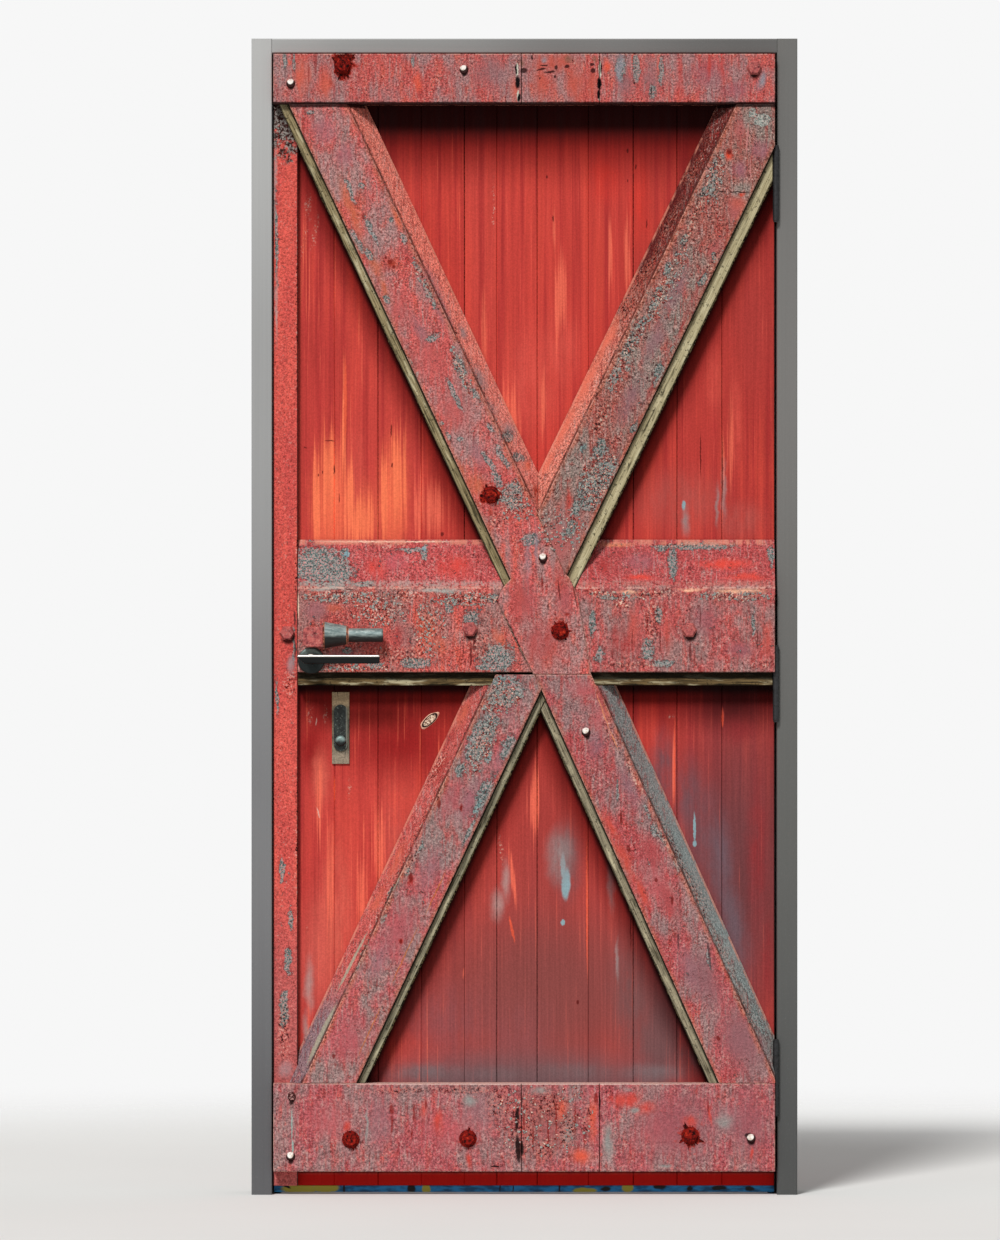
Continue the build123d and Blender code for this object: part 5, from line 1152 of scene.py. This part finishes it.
# Relief that stands a little proud of the boards: knot scar, rust round the bolts, loose paint, torn
# wood along the laths, and the rims of the latch's collar
relief = {
    "scar": {"at": (429.5, 720.4), "half": (4.8, 11.8), "lean": 48.0, "height": 0.0016, "rim": 0.0011,
             "tones": ("#6b3a28", "#ecd3b8", "#2a100b", "#1d0807", "#d9a88e")},
    "crust": {"bolts": [(343.5, 64, 10, 16), (490, 494, 10, 8), (561, 630, 9, 9.5), (351, 1139, 7, 10.5),
                        (468, 1138, 6.5, 9.5), (690, 1136, 10, 12)],
              "height": 0.0014, "jagged": 0.9, "tones": ("#1d0404", "#6e150f", "#b83c26", "#9a3626")},
    # a zone's mark, and how many flakes it gets
    "flakes": {"zones": [(350, 597, 48, 6, 0, 200), (465, 599, 34, 7, 0, 150), (380, 613, 30, 14, 0, 110),
                         (345, 668, 44, 4, 0, 80), (430, 628, 16, 28, 0, 100), (625, 594, 36, 6, 0, 110),
                         (735, 596, 42, 5, 0, 90), (715, 178, 8, 30, 8, 90), (668, 285, 9, 44, 25, 150),
                         (625, 355, 10, 40, 25, 150), (600, 480, 20, 28, 20, 260), (520, 500, 24, 22, 0, 150),
                         (562, 530, 24, 22, 0, 150), (425, 283, 5, 30, -25, 60), (462, 372, 5, 30, -25, 70),
                         (500, 696, 24, 18, 0, 170), (482, 748, 10, 34, 25, 140), (545, 1118, 50, 40, 0, 160)],
               "long": (0.0011, 0.0032), "wide": (0.0008, 0.0022), "curl": (0.0002, 0.0011), "thick": 0.0003,
               "tones": ("#5a2120", "#b1534a", "#d9bba9", "#8d9a95")},
    "splinters": {"wide": 0.0032, "pieces": 420, "thick": 0.001, "sides": (-0.396, 0.437), "apex": 0.875,
                  "tones": ("#15100b", "#5c5138")},
    "rims": {"thick": 0.0009, "tones": ("#3a1c12", "#b06e52")},
}
# the flat fronts that flakes may lie on, as heights and sides
flats = {"middle": (0.918, 1.064), "bottom": (0.042, 0.1965), "sides": (-0.397, 0.4385)}
rng = np.random.default_rng(41)


def gridPiece(name, points, finish):
    # one mesh from several grids of points, four neighbours to a face
    grids, rows, columns = points.shape[:3]
    corner = (np.arange(rows - 1)[:, None] * columns + np.arange(columns - 1)[None, :]).ravel()
    quads = np.stack([corner, corner + 1, corner + columns + 1, corner + columns], 1)
    faces = (quads[None] + (np.arange(grids) * rows * columns)[:, None, None]).reshape(-1, 4)
    mesh = bpy.data.meshes.new(name)
    mesh.from_pydata(points.reshape(-1, 3).tolist(), [], faces.tolist())
    mesh.materials.append(finish.material)
    piece = bpy.data.objects.new(name, mesh)
    bpy.context.scene.collection.objects.link(piece)
    return piece


def surface(name, points, body, finish, thick=0.0):
    piece = gridPiece(name, points, finish)
    piece.data.polygons.foreach_set("use_smooth", np.ones(len(piece.data.polygons), dtype=bool))
    if thick:
        solid = piece.modifiers.new("thickness", "SOLIDIFY")
        solid.thickness = thick
        solid.offset = -1.0
    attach(piece, body)


def scarPiece():
    # a leaning oval: the height falls with the sixth power of the radius, with a rim near the edge and
    # ripples along it
    look = relief["scar"]
    size = photo["metresPerPixel"]
    turn, radius = np.meshgrid(np.linspace(0, 2 * np.pi, 65), np.linspace(0, 1, 18))
    reach = radius * (1 + 0.05 * np.sin(3 * turn + 0.5) + 0.04 * np.sin(5 * turn + 1.3))
    across, along = look["half"][0] * size * reach * np.sin(turn), look["half"][1] * size * reach * np.cos(turn)
    height = look["height"] * (1 - radius ** 6) * (0.75 + 0.25 * np.sin(along * 1500) * np.cos(across * 1100))
    height += look["rim"] * np.exp(-((radius - 0.8) / 0.09) ** 2) - 0.0002
    x, z = fromPhoto(*look["at"])
    sine, cosine = math.sin(math.radians(look["lean"])), math.cos(math.radians(look["lean"]))
    points = np.stack([x + along * sine + across * cosine, plankY - height, z + along * cosine - across * sine], -1)
    f = Finish("scar_wood", 0.75)
    f.weather()
    inside = f.patches([look["at"] + look["half"] + (look["lean"],)], 1.0)
    brown, pale, pit, ring, edge = look["tones"]
    wood = f.over(brown, pale, f.sand, 0.42, 0.56)
    wood = f.over(wood, pit, f.crumb, 0.44, 0.38, 0.85)
    wood = f.over(wood, ring, inside, 0.3, 0.24)
    f.colour(f.over(wood, edge, inside, 0.08, 0.05))
    f.bump(f.plus(f.sand, f.crumb), 0.0006, 0.7)
    surface("knot_scar", points[None], "leaf", f)


def rustCrust():
    # a low blister round each rusty bolt: its radius swings with the angle as a sum of sines, its height
    # falls with the square of the radius
    look = relief["crust"]
    size = photo["metresPerPixel"]
    bolts = np.array(look["bolts"])
    turn, radius = np.meshgrid(np.linspace(0, 2 * np.pi, 97), np.linspace(0, 1, 16))
    phase = rng.uniform(0, 2 * np.pi, (len(bolts), 7, 1, 1))
    waves = np.array([2, 3, 5, 8, 13, 19, 27])[None, :, None, None]
    strength = np.array([0.12, 0.14, 0.14, 0.16, 0.14, 0.16, 0.14])[None, :, None, None]
    swing = (strength * np.sin(waves * turn + phase)).sum(1)
    reach = radius * (0.9 + look["jagged"] * swing * radius)
    x, z = fromPhoto(bolts[:, 0], bolts[:, 1])
    across = x[:, None, None] + bolts[:, 2, None, None] * size * reach * np.sin(turn)
    up = z[:, None, None] + bolts[:, 3, None, None] * size * reach * np.cos(turn)
    up = np.minimum(up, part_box("top_rail")[1].z - 0.0008)
    lumps = np.sin(across * 1300 + phase[:, 0]) * np.sin(up * 1100 + phase[:, 1])
    height = look["height"] * (1 - radius ** 2) * (0.7 + 0.3 * lumps) - 0.0001
    f = Finish("rust_crust", 0.92, shine=0.08)
    f.weather()
    dark, deep, fresh, dull = look["tones"]
    crust = f.over(dark, deep, f.crumb, 0.4, 0.6)
    crust = f.over(crust, fresh, f.sand, 0.6, 0.7, 0.7)
    f.colour(f.over(crust, dull, f.broken, 0.58, 0.68, 0.5))
    f.bump(f.plus(f.crumb, f.sand), 0.0022, 0.9)
    surface("rust_crust", np.stack([across, faceY - height, up], -1), "leaf", f)


def onFace(x, z, spare=0.005):
    # true where a place is on the flat front of a brace, of the middle rail or of the bottom rail
    left, right = flats["sides"][0], flats["sides"][1] - spare
    middle, bottom = [(z > low + spare) & (z < high - spare) for low, high in (flats["middle"], flats["bottom"])]
    found = middle & (x > left) & (x < right) | bottom
    for px, pz, lean, half, lath, side, foot, top in braces.values():
        slope = math.radians(lean)
        across = (x - px) * math.cos(slope) - (z - pz) * math.sin(slope)
        found |= (np.abs(across) < half - spare) & (z > foot) & (z < top - 0.01) & (x < right)
    return found


def paintFlakes():
    # loose chips, each a small four-sided patch with trimmed corners, curling up with the square of the
    # distance from the side that still holds
    look = relief["flakes"]
    size = photo["metresPerPixel"]
    zones = np.array([zone[:5] for zone in look["zones"]])
    zone = zones[np.repeat(np.arange(len(zones)), [zone[5] for zone in look["zones"]])]
    count = len(zone)
    turn, radius = rng.uniform(0, 2 * np.pi, count), np.sqrt(rng.uniform(0, 1, count))
    x, z = fromPhoto(zone[:, 0], zone[:, 1])
    lean = np.radians(zone[:, 4])
    across, up = zone[:, 2] * size * radius * np.sin(turn), zone[:, 3] * size * radius * np.cos(turn)
    x, z = x + across * np.cos(lean) + up * np.sin(lean), z - across * np.sin(lean) + up * np.cos(lean)
    kept = onFace(x, z)
    x, z, count = x[kept, None, None], z[kept, None, None], int(kept.sum())
    long, wide, curl = [rng.uniform(*look[key], count)[:, None, None] for key in ("long", "wide", "curl")]
    spin = rng.uniform(0, 2 * np.pi, count)[:, None, None]
    u, v = np.meshgrid(np.linspace(-1, 1, 5), np.linspace(-1, 1, 4))
    trim = 1 - 0.28 * (u * v) ** 2
    ragged = 1 + 0.3 * rng.uniform(-1, 1, (count, 4, 5))
    a, b = long * u * trim * ragged, wide * v * trim * ragged
    lift = curl * ((u[None] + 1) / 2) ** 2
    points = np.stack([x + a * np.cos(spin) + b * np.sin(spin), faceY - 0.0003 - lift + 0 * a,
                       z - a * np.sin(spin) + b * np.cos(spin)], -1)
    f = Finish("flake_paint", 0.8, shine=0.08)
    f.weather(0.0055)
    dark, red, pale, grey = look["tones"]
    chips = f.over(dark, red, f.crumb, 0.44, 0.5)
    chips = f.over(chips, pale, f.crumb, 0.54, 0.6)
    chips = f.over(chips, grey, f.broken, 0.46, 0.54, 0.85)
    f.colour(f.shaded(chips, f.step(f.sand, 0.3, 0.7, 0.8, 1.15)))
    f.bump(f.sand, 0.0004, 0.5)
    surface("paint_flakes", points, "leaf", f, look["thick"])


def torn(count):
    # rough noise along a line, 0 to 1: random values smoothed over three scales and squared
    line = np.zeros(count)
    for reach, share in ((29, 0.45), (9, 0.35), (3, 0.2)):
        raw = rng.uniform(0, 1, count + reach - 1)
        smooth = np.convolve(raw, np.ones(reach) / reach, "valid")
        line += share * (smooth - smooth.min()) / (smooth.max() - smooth.min())
    return line ** 2


def lathSplinters():
    # a strip along the outer edge of each lath whose width follows the torn noise
    look = relief["splinters"]
    grids = []
    for name, (px, pz, lean, half, lath, side, bottom, top) in braces.items():
        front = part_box(name + "_core")[0].y
        slope = math.radians(lean)
        # from the lath's lower end up to where it passes behind something
        edge = side * (half + lath + look["wide"]) / math.cos(slope)
        stop = pz + (look["sides"][0 if lean < 0 else 1] - edge - px) / math.tan(slope)
        stop = min(stop, top - 0.02) if name.startswith("upper") else look["apex"]
        level = np.linspace(bottom + 0.03, stop, look["pieces"])
        share = np.array([-0.0012, 0.0, 0.5, 1.0])[:, None]
        offset = half + lath + np.where(share < 0, share, share * look["wide"] * torn(look["pieces"])[None])
        middle = px + math.tan(slope) * (level - pz)
        x = middle[None] + side * offset / math.cos(slope)
        y = front + 0.0004 + 0.0012 * np.clip(share, 0, 1) + 0 * x
        grids.append(np.stack([x, y, np.broadcast_to(level[None], x.shape)], -1))
    f = Finish("torn_wood", 0.9, shine=0.05)
    f.weather()
    f.colour(f.over(*look["tones"], f.crumb, 0.4, 0.6))
    f.bump(f.plus(f.fibres, f.sand), 0.0008, 0.8)
    surface("lath_splinters", np.stack(grids), "leaf", f, look["thick"])


def collarRims():
    # two rings: a small circle carried round the collar's wide end and round its narrow end
    thick = relief["rims"]["thick"]
    low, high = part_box("latch_collar")
    middleY, middleZ = (low.y + high.y) / 2, (low.z + high.z) / 2
    around, small = np.meshgrid(np.linspace(0, 2 * np.pi, 65), np.linspace(0, 2 * np.pi, 13))
    ends = np.array([[low.x + thick, (high.z - low.z) / 2], [high.x - thick, 0.016]])
    reach = ends[:, 1, None, None] + thick * (0.2 + np.cos(small)) + 0.0002 * np.sin(around * 7)
    points = np.stack([ends[:, 0, None, None] + thick * np.sin(small) + 0 * reach,
                       middleY + reach * np.cos(around), middleZ + reach * np.sin(around)], -1)
    f = Finish("rim_rust", 0.8, 0.2, 0.3)
    f.weather()
    f.colour(f.over(*relief["rims"]["tones"], f.crumb, 0.4, 0.58))
    f.bump(f.crumb, 0.0005, 0.6)
    surface("collar_rims", points, "latch", f)


scarPiece()
rustCrust()
paintFlakes()
lathSplinters()
collarRims()
print("scar, rust, flakes, torn wood and rims are on")

# Studio: pale floor that fades into the plain pale surroundings, one soft high lamp from the left
studio = {
    "floor": ("#d9d8d5", "#e3e2df"),
    "floorSize": 16.0,
    "floorFades": (1.3, 3.6),
    "surround": 0.93,
    "ambient": 0.36,
    "keyPower": 3.0,
    "keySoftness": 12.0,
    "keyFrom": (-0.28, -0.86, 0.88),
}
camera = {"lens": 240.0, "sensor": 36.0}


def floorPiece():
    # flat square grid, level with the bottom of the frame
    line = np.linspace(-studio["floorSize"] / 2, studio["floorSize"] / 2, 9)
    across, deep = np.meshgrid(line, line)
    f = Finish("studio_floor", 0.9)
    f.colour(f.blend(f.grain(1.2, 2.0), *studio["floor"]))
    fade = f.step(f.vector("LENGTH", f.place).outputs["Value"], *studio["floorFades"])
    clear = f.add("ShaderNodeBsdfTransparent").outputs[0]
    mixed = f.add("ShaderNodeMixShader", {0: fade, 1: f.shader.outputs[0], 2: clear})
    f.feed(f.tree.nodes["Material Output"].inputs["Surface"], mixed.outputs[0])
    floor = gridPiece("studio_floor", np.stack([across, deep, np.zeros_like(deep)], -1)[None], f)


def lightRoom():
    world = bpy.data.worlds.new("studio_world")
    world.use_nodes = True
    bpy.context.scene.world = world
    tree = world.node_tree
    sky = tree.nodes["Background"]
    sky.inputs["Color"].default_value = (1, 1, 1, 1)
    path = tree.nodes.new("ShaderNodeLightPath")
    seen = path.outputs["Is Camera Ray"]
    for name in ("Is Glossy Ray", "Is Transmission Ray"):
        most = tree.nodes.new("ShaderNodeMath")
        most.operation = "MAXIMUM"
        tree.links.new(seen, most.inputs[0])
        tree.links.new(path.outputs[name], most.inputs[1])
        seen = most.outputs[0]
    level = tree.nodes.new("ShaderNodeMapRange")
    tree.links.new(seen, level.inputs["Value"])
    level.inputs["To Min"].default_value = studio["ambient"]
    level.inputs["To Max"].default_value = studio["surround"]
    tree.links.new(level.outputs[0], sky.inputs["Strength"])
    sun = bpy.data.lights.new("key", "SUN")
    sun.energy = studio["keyPower"]
    sun.angle = math.radians(studio["keySoftness"])
    lamp = bpy.data.objects.new("key", sun)
    lamp.rotation_euler = (-Vector(studio["keyFrom"])).to_track_quat("-Z", "Y").to_euler()
    bpy.context.scene.collection.objects.link(lamp)


def aimCamera():
    # square on to the face, as far off as the lens needs to fill the photograph's height
    lens = bpy.data.cameras.new("camera")
    lens.lens = camera["lens"]
    lens.sensor_width = camera["sensor"]
    lens.sensor_fit = "AUTO"
    distance = photo["high"] * photo["metresPerPixel"] * camera["lens"] / camera["sensor"]
    x, z = fromPhoto(photo["wide"] / 2, photo["high"] / 2)
    eye = bpy.data.objects.new("camera", lens)
    eye.location = (x, faceY + 0.015 - distance, z)
    eye.rotation_euler = (math.pi / 2, 0, 0)
    lens.clip_end = 100.0
    bpy.context.scene.collection.objects.link(eye)
    bpy.context.scene.camera = eye


floorPiece()
lightRoom()
aimCamera()
bpy.context.scene.view_settings.view_transform = "Standard"
print("studio, lamp and camera are set")
